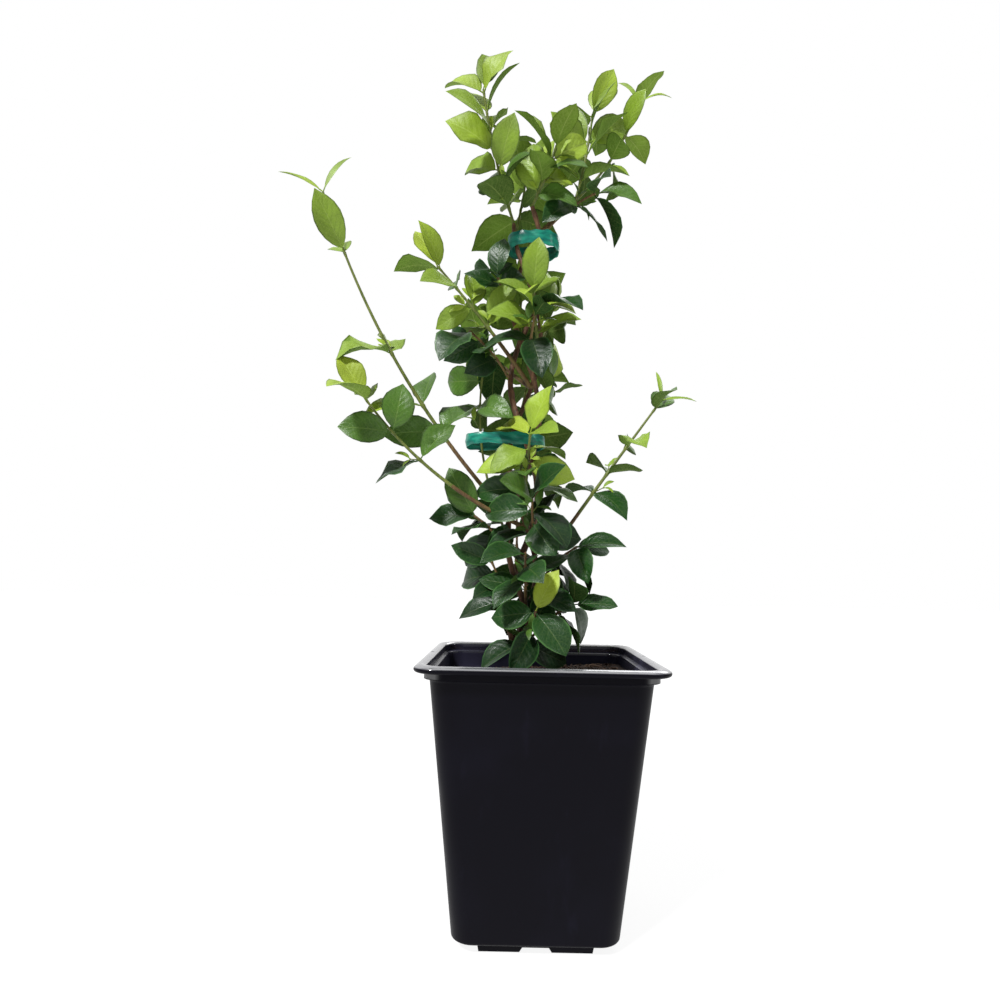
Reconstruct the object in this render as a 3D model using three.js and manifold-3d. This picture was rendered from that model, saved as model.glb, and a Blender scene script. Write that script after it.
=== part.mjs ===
// A young confederate jasmine in a square nursery pot: three stems twine up from one crown, held by
// two soft ties, and carry leafy shoots on all sides. Leaves stand in opposite pairs along each shoot.
// Millimetres, +Z up. The origin is the middle of the pot's flat underside, and -Y is the front.

import * as THREE from "three";
import { mergeVertices } from "three/addons/utils/BufferGeometryUtils.js";
import Module from "manifold-3d";

const wasm = await Module();
wasm.setup();

// Driving dimensions
const GAP = 0.3;
const UP = new THREE.Vector3(0, 0, 1);

const POT = {
  height: 194,
  rimHalf: 83,
  rimCorner: 15,
  flange: 7.6,
  lip: 5,
  edge: 1.2,
  collarHalf: 76.8,
  collarDrop: 9.5,
  shoulder: 2.5,
  wallTopHalf: 73.4,
  wallFootHalf: 57.5,
  wall: 1.4,
  corner: 14,
  footHeight: 6.5,
  footRound: 2.6,
  plinthReach: 52,
  plinthHalf: 39.5,
  plinthDraft: 1.2,
  floor: 2.2,
  notchWidth: 23,
  notchSlope: 2.6,
  notchHeight: 3.4,
  notchDepth: 26,
  drainPlace: 45,
  drainRadius: 4,
  drainSides: 12,
  tagHoleRadius: 1.4,
  tagHoleSides: 8,
  arcSteps: 4,
};
const SOIL_TOP = 180;

// The stems twine about one upright line: the circle that they follow, and the height of one turn
const COLUMN = {
  x: -14, footRadius: 5.5, radius: 11, spreadHeight: 70, pitch: 174, flareHeight: 8, sides: 7, steps: 22,
};
const STEMS = [
  { name: "stem_main", lead: 0, top: 522, footRadius: 2.9, tipRadius: 1.6, flare: 1.5 },
  { name: "stem_second", lead: 120, top: 503, footRadius: 2.4, tipRadius: 1.5, flare: 1.1 },
  { name: "stem_third", lead: 240, top: 515, footRadius: 2.2, tipRadius: 1.4, flare: 1.0 },
];
const TIES = [
  { name: "tie_lower", stem: "stem_main", middle: 352, height: 9, left: -58, right: 2 },
  { name: "tie_upper", stem: "stem_second", middle: 499, height: 11, left: -30, right: 10 },
];
const TIE = { thickness: 1, curveSegments: 6 };

// Stations run from root to tip, each with its share of the half width. Ranges go from lowest to highest.
const LEAF = {
  stations: [[0, 0], [0.28, 0.9], [0.7, 0.86], [1, 0]],
  bladeStart: 0.2,
  widthShare: 0.58,
  halfThickness: 0.42,
  rootHalf: 0.55,
  fold: 14,
  clearance: 0.35,
  faceOut: 0.75,
  faceUp: 0.65,
  lengthRange: [0.86, 1.14],
  widthRange: [0.85, 1.2],
  curlRange: [0.25, 0.75],
  sagRange: [-0.24, 2.16],
  footTilt: 72,
  endTilt: 46,
  tiltSpread: 36,
  turnSpread: 30,
  rollSpread: 100,
  swings: [0, 24, -24, 48, -48],
};
const TIP_LEAF = {
  lengthShare: 0.95, lengthRange: [0.9, 1.1], tilt: 8, tiltSpread: 10, turnSpread: 40, curl: 0.4,
};
const BUD = { lengthShare: 0.82, widthShare: 0.15, tilt: 34 };
const TWIG = {
  sides: 3, boughSides: 6, stepLength: 20, tipRadius: 0.75, footRadius: 1.05, longFootRadius: 1.7,
  forkTaper: 0.3,
};
const RANDOM = { seedStep: 7919, factor: 48271, range: 2 ** 31 - 1 };

// Each row is one leafy shoot: the limb it leaves and the height there, where its tip stands, how far
// it bows above (or below) the straight line, how much of it is bare, and how its leaf pairs sit.
const SHOOT = {
  arch: 0.1, bare: 0, pairs: 4, first: 0.35, last: 0.97, stretch: 1, leaf: 36, turn: 0, spiral: 75, spread: 1,
  face: 0, sag: 0.25, bud: false, shade: "mid",
};
const SHOOTS = [
  { name: "left_long", from: "stem_second", at: 298, tip: [-167, -4, 534], arch: -0.115, bare: 0.25,
    first: 0.28, last: 0.83, stretch: 1.8, leaf: 43, turn: 30, spiral: 20, sag: 0, bud: true,
    shade: "light", seed: 55 },
  { name: "left_low", from: "stem_third", at: 290, tip: [-128, -30, 376], arch: -0.15, bare: 0.4, pairs: 3,
    first: 0.6, leaf: 38, spiral: 40, sag: 0, seed: 2 },
  { name: "left_high", from: "stem_second", at: 392, tip: [-80, -14, 476], arch: 0.02, bare: 0.42,
    first: 0.48, leaf: 36, turn: -30, spiral: 50, sag: 0.05, shade: "light", seed: 44 },
  { name: "right_long", from: "stem_third", at: 258, tip: [87, -6, 384], arch: 0, bare: 0.33, first: 0.45,
    last: 0.94, stretch: 1.4, leaf: 34, turn: -45, spiral: -20, sag: 0, bud: true, seed: 10 },
  { name: "top_right", from: "stem_second", at: 503, tip: [20, -4, 533], arch: 0.05, bare: 1, seed: 15 },
  { name: "top_near", from: "bough_top_right", at: 533, tip: [33, 6, 603], arch: -0.05, pairs: 6,
    first: 0.2, leaf: 40, spiral: 60, spread: 0.85, sag: 0, shade: "light", seed: 59 },
  { name: "top_far", from: "bough_top_right", at: 527, tip: [68, 6, 612], arch: -0.14, pairs: 3, first: 0.5,
    leaf: 36, turn: 45, spiral: 30, spread: 0.9, sag: 0, bud: true, shade: "light", seed: 8 },
  { name: "top_side", from: "bough_top_right", at: 517, tip: [34, -14, 531], pairs: 2, first: 0.6, leaf: 36,
    turn: 30, spiral: 60, sag: 0.8, shade: "dark", seed: 30 },
  { name: "top_left", from: "stem_third", at: 515, tip: [-49, -14, 605], arch: -0.06, pairs: 7, first: 0.12,
    leaf: 37, turn: 60, spiral: 45, spread: 0.9, sag: 0, shade: "light", seed: 25 },
  { name: "top_middle", from: "stem_main", at: 522, tip: [4, -26, 556], arch: -0.05, pairs: 5, first: 0.2,
    leaf: 37, spiral: 65, spread: 0.75, sag: 0, shade: "light", seed: 24 },
  { name: "front_high", from: "stem_third", at: 420, tip: [-10, -28, 452], arch: -0.1, turn: -5, sag: 0.1,
    shade: "light", seed: 19 },
  { name: "front_middle", from: "stem_second", at: 412, tip: [-8, -30, 444], arch: -0.1, turn: 120,
    shade: "dark", seed: 52 },
  { name: "front_tie", from: "stem_third", at: 296, tip: [-10, -33, 352], pairs: 5, first: 0.3, sag: 0.6,
    shade: "light", seed: 38 },
  { name: "front_low", from: "stem_third", at: 272, tip: [-8, -35, 306], arch: -0.1, turn: 180,
    shade: "dark", seed: 49 },
  { name: "front_waist", from: "stem_second", at: 230, tip: [-12, -38, 268], arch: -0.1, turn: 140,
    shade: "dark", seed: 19 },
  { name: "front_foot", from: "stem_main", at: 198, tip: [-4, -38, 228], arch: -0.3, pairs: 3, turn: 180,
    sag: 0.5, shade: "dark", seed: 82 },
  { name: "left_middle", from: "stem_main", at: 400, tip: [-56, -12, 430], turn: 60, spiral: 60, face: -20,
    sag: 0.35, shade: "dark", seed: 16 },
  { name: "left_tie", from: "stem_second", at: 286, tip: [-46, -2, 400], arch: -0.15, pairs: 3, first: 0.66,
    turn: -135, spiral: 60, face: -30, sag: 0.4, seed: 56 },
  { name: "left_waist", from: "stem_second", at: 272, tip: [-50, -4, 296], turn: -10, spiral: 60, face: -30,
    sag: 0.35, shade: "dark", seed: 23 },
  { name: "left_foot", from: "stem_main", at: 216, tip: [-36, -14, 262], spiral: 60, face: -40, sag: 0.6,
    shade: "dark", seed: 37 },
  { name: "right_foot", from: "stem_third", at: 246, tip: [26, -14, 274], turn: 80, spiral: 60, face: 30,
    sag: 0.5, shade: "dark", seed: 56 },
  { name: "right_base", from: "stem_second", at: 208, tip: [24, -20, 232], pairs: 3, turn: -80, spiral: 60,
    face: 30, sag: 0.5, shade: "dark", seed: 10 },
  { name: "right_waist", from: "stem_second", at: 368, tip: [6, 8, 402], arch: -0.1, pairs: 3, leaf: 32,
    turn: 110, face: 60, sag: 0.1, seed: 32 },
  { name: "right_high", from: "stem_third", at: 428, tip: [4, 8, 452], arch: -0.1, pairs: 3, leaf: 32,
    turn: 135, face: 70, sag: 0.1, seed: 32 },
  { name: "left_neck", from: "stem_second", at: 452, tip: [-36, -8, 472], arch: -0.1, pairs: 3, leaf: 32,
    turn: 90, face: -30, sag: 0.1, shade: "dark", seed: 40 },
  { name: "top_back", from: "stem_third", at: 508, tip: [-16, 42, 574], arch: -0.05, pairs: 5, first: 0.3,
    leaf: 37, turn: 20, spread: 0.85, face: 180, sag: 0, shade: "light", seed: 52 },
  { name: "back_high", from: "stem_main", at: 430, tip: [-18, 30, 482], arch: -0.1, turn: 20, face: 180,
    shade: "light", seed: 34 },
  { name: "back_middle", from: "stem_third", at: 378, tip: [-10, 36, 424], arch: -0.1, turn: 40, face: 180,
    seed: 35 },
  { name: "back_tie", from: "stem_second", at: 320, tip: [-8, 40, 372], turn: 10, face: 180, seed: 36 },
  { name: "back_low", from: "stem_main", at: 262, tip: [-18, 38, 304], arch: -0.1, turn: 60, face: 180,
    sag: 0.35, shade: "dark", seed: 37 },
  { name: "back_foot", from: "stem_third", at: 206, tip: [-8, 36, 246], turn: 30, face: 180, sag: 0.45,
    shade: "dark", seed: 38 },
  { name: "back_left", from: "stem_third", at: 396, tip: [-60, 88, 466], arch: -0.05, bare: 0.4,
    first: 0.46, turn: 20, spiral: 45, face: 220, sag: 0.1, shade: "light", seed: 39 },
  { name: "back_right", from: "stem_main", at: 300, tip: [0, 94, 378], arch: -0.05, bare: 0.4, first: 0.46,
    stretch: 1.2, turn: 30, spiral: 45, face: 140, sag: 0.1, seed: 40 },
];

const COLOURS = {
  pot: 0x191a1f, soil: 0x3f3534, wood: 0x6a4f3a, tie: 0x1d8871,
  light: 0x75953a, mid: 0x5c6733, dark: 0x24401f,
};

// Solids and meshes

function solidOf(geometry) {
  geometry.deleteAttribute("normal");
  geometry.deleteAttribute("uv");
  const merged = mergeVertices(geometry, 1e-5);
  const triangles = [];
  for (let i = 0; i < merged.index.count; i += 3) {
    const [a, b, c] = merged.index.array.slice(i, i + 3);
    if (a !== b && b !== c && c !== a) {
      triangles.push(a, b, c);
    }
  }
  return new wasm.Manifold(new wasm.Mesh({
    numProp: 3,
    vertProperties: new Float32Array(merged.attributes.position.array),
    triVerts: new Uint32Array(triangles),
  }));
}

function meshOf(name, solid, colour, roughness) {
  const { vertProperties, triVerts } = solid.getMesh();
  const geometry = new THREE.BufferGeometry();
  geometry.setAttribute("position", new THREE.BufferAttribute(new Float32Array(vertProperties), 3));
  geometry.setIndex(new THREE.BufferAttribute(new Uint32Array(triVerts), 1));
  geometry.computeVertexNormals();
  const material = new THREE.MeshStandardMaterial({ color: colour, roughness, metalness: 0 });
  const mesh = new THREE.Mesh(geometry, material);
  mesh.name = name;
  return mesh;
}

function remap(geometry, place) {
  const position = geometry.attributes.position;
  const vertex = new THREE.Vector3();
  for (let i = 0; i < position.count; i += 1) {
    vertex.fromBufferAttribute(position, i);
    position.setXYZ(i, ...place(vertex).toArray());
  }
  return geometry;
}

// Pot and soil: a lathe whose rings are drawn out to squares with round corners

function squareLathe(profile) {
  const arcPoints = POT.arcSteps + 1;
  const ringSteps = 4 * arcPoints;
  const points = profile.map(([half, z]) => new THREE.Vector2(half, z));
  const geometry = new THREE.LatheGeometry(points, ringSteps);
  let index = 0;
  return remap(geometry, () => {
    const step = Math.floor(index / profile.length) % ringSteps;
    const [half, z, corner] = profile[index % profile.length];
    index += 1;
    const quarter = Math.floor(step / arcPoints);
    const angle = (quarter + (step % arcPoints) / POT.arcSteps) * Math.PI / 2;
    const middle = (quarter + 0.5) * Math.PI / 2;
    const reach = (half - corner) * Math.SQRT2;
    return new THREE.Vector3(
      Math.cos(middle) * reach + Math.cos(angle) * corner,
      Math.sin(middle) * reach + Math.sin(angle) * corner,
      z,
    );
  });
}

function innerHalf(z) {
  const share = (z - POT.footHeight) / (POT.height - POT.collarDrop - POT.shoulder - POT.footHeight);
  return THREE.MathUtils.lerp(POT.wallFootHalf, POT.wallTopHalf, share) - POT.wall;
}

// The plinth is a cross, so that the four corners with the drain holes stand clear of the ground.
// Its sides draw in towards the ground, so that the pot leaves its mould.
function plinthSolid(top) {
  const { plinthReach: reach, plinthHalf: half, plinthDraft: draft } = POT;
  const cross = new THREE.Shape([
    [half, half], [half, reach], [-half, reach], [-half, half], [-reach, half], [-reach, -half],
    [-half, -half], [-half, -reach], [half, -reach], [half, -half], [reach, -half], [reach, half],
  ].map(([x, y]) => new THREE.Vector2(x, y)));
  const block = new THREE.ExtrudeGeometry(cross, { depth: top, bevelEnabled: false });
  return solidOf(remap(block, ({ x, y, z }) => {
    const inset = draft * (1 - z / top);
    return new THREE.Vector3(x - Math.sign(x) * inset, y - Math.sign(y) * inset, z);
  }));
}

function potSolid() {
  const { height, rimHalf, rimCorner, flange, lip, edge, collarHalf, collarDrop, shoulder } = POT;
  const { corner, wall, wallTopHalf, wallFootHalf, footHeight, footRound, floor } = POT;
  const inCorner = corner - wall;
  const collarFoot = height - collarDrop;
  const floorTop = footHeight + floor;
  const footArc = [0, Math.PI / 4, Math.PI / 2].map((angle) => [
    wallFootHalf - footRound * (1 - Math.sin(angle)),
    footHeight + footRound * (1 - Math.cos(angle)),
    corner,
  ]);
  let pot = solidOf(squareLathe([
    [0, footHeight, 0],
    ...footArc,
    [wallTopHalf, collarFoot - shoulder, corner],
    [collarHalf, collarFoot, corner],
    [collarHalf, height - lip, corner],
    [rimHalf - edge, height - lip, rimCorner],
    [rimHalf, height - lip + edge, rimCorner],
    [rimHalf, height - edge, rimCorner],
    [rimHalf - edge, height, rimCorner],
    [rimHalf - flange + edge, height, corner],
    [rimHalf - flange, height - edge, corner],
    [collarHalf - wall, collarFoot + shoulder, inCorner],
    [innerHalf(collarFoot), collarFoot, inCorner],
    [innerHalf(floorTop + footRound), floorTop + footRound, inCorner],
    [innerHalf(floorTop) - footRound, floorTop, inCorner - footRound],
    [0, floorTop, 0],
  ]));
  pot = pot.add(plinthSolid(footHeight + floor / 2));
  const notchHalf = POT.notchWidth / 2;
  const notch = new THREE.Shape([
    new THREE.Vector2(-notchHalf, -1),
    new THREE.Vector2(notchHalf, -1),
    new THREE.Vector2(notchHalf - POT.notchSlope, POT.notchHeight),
    new THREE.Vector2(POT.notchSlope - notchHalf, POT.notchHeight),
  ]);
  const notchReach = POT.notchDepth + 1;
  for (let quarter = 0; quarter < 4; quarter += 1) {
    const cut = new THREE.ExtrudeGeometry(notch, { depth: notchReach, bevelEnabled: false });
    cut.rotateX(Math.PI / 2);
    cut.translate(0, POT.notchDepth - POT.plinthReach, 0);
    cut.rotateZ(quarter * Math.PI / 2);
    pot = pot.subtract(solidOf(cut));
    const drain = new THREE.CylinderGeometry(POT.drainRadius, POT.drainRadius, 4 * floor, POT.drainSides);
    drain.rotateX(Math.PI / 2);
    drain.translate(POT.drainPlace, POT.drainPlace, footHeight + floor / 2);
    drain.rotateZ(quarter * Math.PI / 2);
    pot = pot.subtract(solidOf(drain));
  }
  for (const side of [-1, 1]) {
    const hole = new THREE.CylinderGeometry(POT.tagHoleRadius, POT.tagHoleRadius, 3 * lip, POT.tagHoleSides);
    hole.rotateX(Math.PI / 2);
    hole.translate(side * (rimHalf - flange / 2), 0, height - lip / 2);
    pot = pot.subtract(solidOf(hole));
  }
  return pot;
}

function soilSolid() {
  const bottom = POT.footHeight + POT.floor + GAP;
  const corner = POT.corner - POT.wall - GAP;
  return solidOf(squareLathe([
    [0, bottom, 0],
    [innerHalf(bottom) - POT.footRound - GAP, bottom, corner - POT.footRound],
    [innerHalf(bottom + POT.footRound) - GAP, bottom + POT.footRound, corner],
    [innerHalf(SOIL_TOP) - GAP, SOIL_TOP, corner],
    [0, SOIL_TOP, 0],
  ]));
}

// Limbs: a tapering sweep along any curve

function sweep(curve, radiusAt, sides, steps, levelRings) {
  const frames = [];
  let across = new THREE.Vector3(1, 0, 0);
  for (let i = 0; i <= steps; i += 1) {
    const along = levelRings ? UP.clone() : curve.getTangent(i / steps);
    if (i === 0 && Math.abs(along.x) > 0.9) {
      across.set(0, 1, 0);
    }
    across = across.clone().addScaledVector(along, -across.dot(along)).normalize();
    const beside = across.clone().cross(along);
    frames.push({ centre: curve.getPoint(i / steps), across, beside, radius: radiusAt(i / steps) });
  }
  const geometry = new THREE.CylinderGeometry(1, 1, 1, sides, steps);
  return solidOf(remap(geometry, (vertex) => {
    const { centre, across: x, beside: z, radius } = frames[Math.round((vertex.y + 0.5) * steps)];
    return centre.clone().addScaledVector(x, vertex.x * radius).addScaledVector(z, vertex.z * radius);
  }));
}

class TwiningStem extends THREE.Curve {
  constructor(lead, top) {
    super();
    this.lead = lead;
    this.foot = SOIL_TOP + GAP;
    this.top = top;
  }

  getPoint(t) {
    const z = THREE.MathUtils.lerp(this.foot, this.top, t);
    const rise = z - SOIL_TOP;
    const spread = THREE.MathUtils.smoothstep(rise, 0, COLUMN.spreadHeight);
    const radius = THREE.MathUtils.lerp(COLUMN.footRadius, COLUMN.radius, spread);
    const angle = THREE.MathUtils.degToRad(this.lead - 90 - 360 * rise / COLUMN.pitch);
    return new THREE.Vector3(COLUMN.x + radius * Math.cos(angle), radius * Math.sin(angle), z);
  }
}

class Stretch extends THREE.Curve {
  constructor(whole, start, end) {
    super();
    this.whole = whole;
    this.start = start;
    this.end = end;
  }

  getPoint(t) {
    return this.whole.getPoint(THREE.MathUtils.lerp(this.start, this.end, t));
  }

  getTangent(t) {
    return this.whole.getTangent(THREE.MathUtils.lerp(this.start, this.end, t));
  }
}

function shareAtHeight(curve, height) {
  let low = 0;
  let high = 1;
  for (let halving = 0; halving < 40; halving += 1) {
    const middle = (low + high) / 2;
    if (curve.getPoint(middle).z < height) {
      low = middle;
    } else {
      high = middle;
    }
  }
  return (low + high) / 2;
}

// A shoot's line: it starts just clear of the limb that carries it, beside it or beyond its tip, and
// runs to its own tip with an even bow.
function shootCurve(shoot, limb, footRadius) {
  const tip = new THREE.Vector3(...shoot.tip);
  const share = shareAtHeight(limb.curve, shoot.at);
  const seat = limb.curve.getPoint(share);
  const limbWay = limb.curve.getTangent(share);
  const atTip = share > 0.999;
  const chord = tip.clone().sub(seat);
  const bow = UP.clone().addScaledVector(chord, -UP.dot(chord) / chord.lengthSq()).normalize();
  const bend = seat.clone().lerp(tip, 0.5).addScaledVector(bow, shoot.arch * chord.length());
  const way = bend.clone().sub(seat).normalize();
  const out = atTip ? limb.capWay : way.clone().addScaledVector(limbWay, -way.dot(limbWay)).normalize();
  const tilt = Math.sqrt(Math.max(0, 1 - way.dot(out) ** 2));
  const clear = (atTip ? 0 : limb.radiusAt(share)) + GAP + footRadius * tilt;
  const foot = seat.addScaledVector(out, clear);
  return new THREE.QuadraticBezierCurve3(foot, bend, tip);
}

// Leaves

function randomFrom(seed) {
  let state = seed * RANDOM.seedStep;
  return () => {
    state = (state * RANDOM.factor) % RANDOM.range;
    return state / RANDOM.range;
  };
}

// A leaf is a cone drawn out to a folded, drooping blade: its root is an upright edge sunk in the twig,
// then come four-cornered sections and the tip.
function leafSolid(leaf, start, margin) {
  const stations = LEAF.stations.with(0, [start, 0]);
  const steps = stations.length - 1;
  const fold = THREE.MathUtils.degToRad(LEAF.fold);
  const side = leaf.way.clone().cross(leaf.normal);
  const geometry = new THREE.ConeGeometry(1, 1, 4, steps, true);
  return solidOf(remap(geometry, (vertex) => {
    const step = Math.round((vertex.y + 0.5) * steps);
    const [share, breadth] = stations[step];
    const bend = leaf.curl * share;
    const reach = (leaf.length + (step === steps ? margin : 0)) / leaf.curl;
    const lift = leaf.normal.clone().multiplyScalar(Math.cos(bend)).addScaledVector(leaf.way, Math.sin(bend));
    const point = leaf.root.clone()
      .addScaledVector(leaf.way, reach * Math.sin(bend))
      .addScaledVector(leaf.normal, reach * (Math.cos(bend) - 1));
    if (step === steps) {
      return point;
    }
    if (step === 0) {
      const upper = vertex.x < -0.5 || vertex.z > 0.5;
      return point.addScaledVector(lift, (upper ? 1 : -1) * (LEAF.rootHalf + margin));
    }
    const half = (breadth * leaf.width / 2 + margin) * Math.sign(Math.round(vertex.x * 100));
    const thick = (LEAF.halfThickness + margin) * Math.sign(Math.round(vertex.z * 100));
    return point.addScaledVector(side, half * Math.cos(fold))
      .addScaledVector(lift, Math.abs(half) * Math.sin(fold) + thick);
  }));
}

function facing(shoot) {
  const angle = THREE.MathUtils.degToRad(shoot.face);
  const out = new THREE.Vector3(Math.sin(angle), -Math.cos(angle), 0);
  return out.multiplyScalar(LEAF.faceOut).addScaledVector(UP, LEAF.faceUp).normalize();
}

function leafAt(curve, share, shoot, { tilt, phase, length, width, sag, roll, curl }) {
  const along = curve.getTangent(share);
  const face = facing(shoot);
  const front = Math.abs(along.y) > 0.9 ? UP : new THREE.Vector3(0, -1, 0);
  const across = along.clone().cross(front).normalize();
  const beside = along.clone().cross(across);
  const way = along.clone().multiplyScalar(Math.cos(tilt))
    .addScaledVector(across, Math.sin(tilt) * Math.cos(phase))
    .addScaledVector(beside, Math.sin(tilt) * Math.sin(phase))
    .addScaledVector(UP, -sag)
    .normalize();
  const normal = face.addScaledVector(way, -face.dot(way)).normalize();
  normal.applyAxisAngle(way, roll);
  return { root: curve.getPoint(share), way, normal, length, width, curl };
}

// Every leaf that a shoot may carry, each with the turned places that it can fall back to.
function leafPlaces(shoot, curve) {
  const random = randomFrom(shoot.seed);
  const { degToRad, lerp } = THREE.MathUtils;
  const places = [];
  const gaps = shoot.pairs - 1;
  for (let pair = 0; pair < shoot.pairs; pair += 1) {
    const even = pair / gaps;
    const stretched = (shoot.stretch ** pair - 1) / (shoot.stretch ** gaps - 1);
    const share = lerp(shoot.first, shoot.last, shoot.stretch === 1 ? even : stretched);
    for (let side = 0; side < 2; side += 1) {
      const draw = [random(), random(), random(), random(), random()];
      const length = shoot.leaf * lerp(...LEAF.lengthRange, draw[0]);
      const tilt = shoot.spread * lerp(LEAF.footTilt, LEAF.endTilt, even) + LEAF.tiltSpread * (draw[1] - 0.5);
      const turn = shoot.turn + shoot.spiral * pair + 180 * side + LEAF.turnSpread * (draw[2] - 0.5);
      places.push(LEAF.swings.map((swing) => leafAt(curve, share, shoot, {
        tilt: degToRad(tilt),
        phase: degToRad(turn + swing),
        length,
        width: length * LEAF.widthShare * lerp(...LEAF.widthRange, draw[3]),
        sag: shoot.sag * lerp(...LEAF.sagRange, draw[3]),
        roll: degToRad(LEAF.rollSpread * (draw[4] - 0.5)),
        curl: lerp(...LEAF.curlRange, draw[1]),
      })));
    }
  }
  const { lengthShare, widthShare, tilt } = shoot.bud ? BUD : { ...LEAF, ...TIP_LEAF };
  for (const side of shoot.bud ? [-1, 1] : [1]) {
    const draw = [random(), random(), random()];
    const length = shoot.leaf * lengthShare * lerp(...TIP_LEAF.lengthRange, draw[0]);
    const turn = (side < 0 ? 180 : 0) + TIP_LEAF.turnSpread * (draw[2] - 0.5);
    places.push(LEAF.swings.map((swing) => leafAt(curve, 1, shoot, {
      tilt: degToRad(tilt + TIP_LEAF.tiltSpread * draw[1] + Math.abs(swing) / 2),
      phase: degToRad(turn + swing),
      length,
      width: length * widthShare,
      sag: 0,
      roll: 0,
      curl: TIP_LEAF.curl,
    })));
  }
  return places;
}

// What already stands: each new leaf is tried against it

const standing = [];

function stand(owner, solid) {
  const { min, max } = solid.boundingBox();
  standing.push({ owner, solid, min, max });
  return solid;
}

function isClear(solid, apartFrom) {
  const { min, max } = solid.boundingBox();
  return !standing.some((other) => {
    const apart = [0, 1, 2].some((k) => max[k] < other.min[k] || min[k] > other.max[k]);
    return other.owner !== apartFrom && !apart && !solid.intersect(other.solid).isEmpty();
  });
}

// Putting the plant together

const plant = new THREE.Group();
plant.add(meshOf("pot", stand("pot", potSolid()), COLOURS.pot, 0.45));
plant.add(meshOf("soil", stand("soil", soilSolid()), COLOURS.soil, 0.95));

const limbs = new Map();
for (const { name, lead, top, footRadius, tipRadius, flare } of STEMS) {
  const curve = new TwiningStem(lead, top);
  const radiusAt = (t) => THREE.MathUtils.lerp(footRadius, tipRadius, t)
    + flare * Math.exp(-t * (top - SOIL_TOP) / COLUMN.flareHeight);
  limbs.set(name, { curve, radiusAt, capWay: UP });
  const stem = stand(name, sweep(curve, radiusAt, COLUMN.sides, COLUMN.steps, true));
  plant.add(meshOf(name, stem, COLOURS.wood, 0.8));
}

function stadium(left, right, half) {
  const shape = new THREE.Shape();
  shape.absarc(right - half, 0, half, -Math.PI / 2, Math.PI / 2);
  shape.absarc(left + half, 0, half, Math.PI / 2, 1.5 * Math.PI);
  shape.closePath();
  return shape;
}

for (const { name, stem, middle, height, left, right } of TIES) {
  const { curve, radiusAt } = limbs.get(stem);
  const inner = COLUMN.radius + radiusAt(shareAtHeight(curve, middle)) + GAP;
  const band = stadium(left, right, inner + TIE.thickness);
  band.holes.push(stadium(left + TIE.thickness, right - TIE.thickness, inner));
  const { curveSegments } = TIE;
  const geometry = new THREE.ExtrudeGeometry(band, { depth: height, bevelEnabled: false, curveSegments });
  geometry.translate(0, 0, middle - height / 2);
  plant.add(meshOf(name, stand(name, solidOf(geometry)), COLOURS.tie, 0.4));
}

const masses = [];
for (const row of SHOOTS) {
  const shoot = { ...SHOOT, ...row };
  const footRadius = shoot.bare > 0 ? TWIG.longFootRadius : TWIG.footRadius;
  const curve = shootCurve(shoot, limbs.get(shoot.from), footRadius);
  const length = curve.getLength();
  const radiusAt = (t) => THREE.MathUtils.lerp(footRadius, TWIG.tipRadius, t);
  if (shoot.bare > 0) {
    const name = `bough_${shoot.name}`;
    const reach = shoot.bare === 1 ? TWIG.forkTaper : shoot.bare;
    const bareCurve = new Stretch(curve, 0, shoot.bare);
    const bareRadius = (t) => radiusAt(t * reach);
    const steps = Math.ceil(length * shoot.bare / TWIG.stepLength) + 1;
    limbs.set(name, { curve: bareCurve, radiusAt: bareRadius, capWay: bareCurve.getTangent(1) });
    const bough = stand(name, sweep(bareCurve, bareRadius, TWIG.boughSides, steps, false));
    plant.add(meshOf(name, bough, COLOURS.wood, 0.8));
  }
  if (shoot.bare < 1) {
    const name = `foliage_${shoot.name}`;
    const start = shoot.bare > 0 ? shoot.bare + GAP / length : 0;
    const steps = Math.ceil(length * (1 - start) / TWIG.stepLength) + 1;
    const leafyCurve = new Stretch(curve, start, 1);
    const leafyRadius = (t) => radiusAt(THREE.MathUtils.lerp(start, 1, t));
    const stem = stand(name, sweep(leafyCurve, leafyRadius, TWIG.sides, steps, false));
    masses.push({ name, shoot, curve, solid: stem });
  }
}

for (const mass of masses) {
  for (const turns of leafPlaces(mass.shoot, mass.curve)) {
    const place = turns.find((leaf) => isClear(leafSolid(leaf, LEAF.bladeStart, LEAF.clearance))
      && isClear(leafSolid(leaf, 0, LEAF.clearance), mass.name));
    if (place) {
      mass.solid = mass.solid.add(stand(mass.name, leafSolid(place, 0, 0)));
    }
  }
  plant.add(meshOf(mass.name, mass.solid, COLOURS[mass.shoot.shade], 0.5));
}

export default plant;
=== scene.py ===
import math

import bpy
import numpy as np
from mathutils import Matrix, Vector, noise


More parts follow.
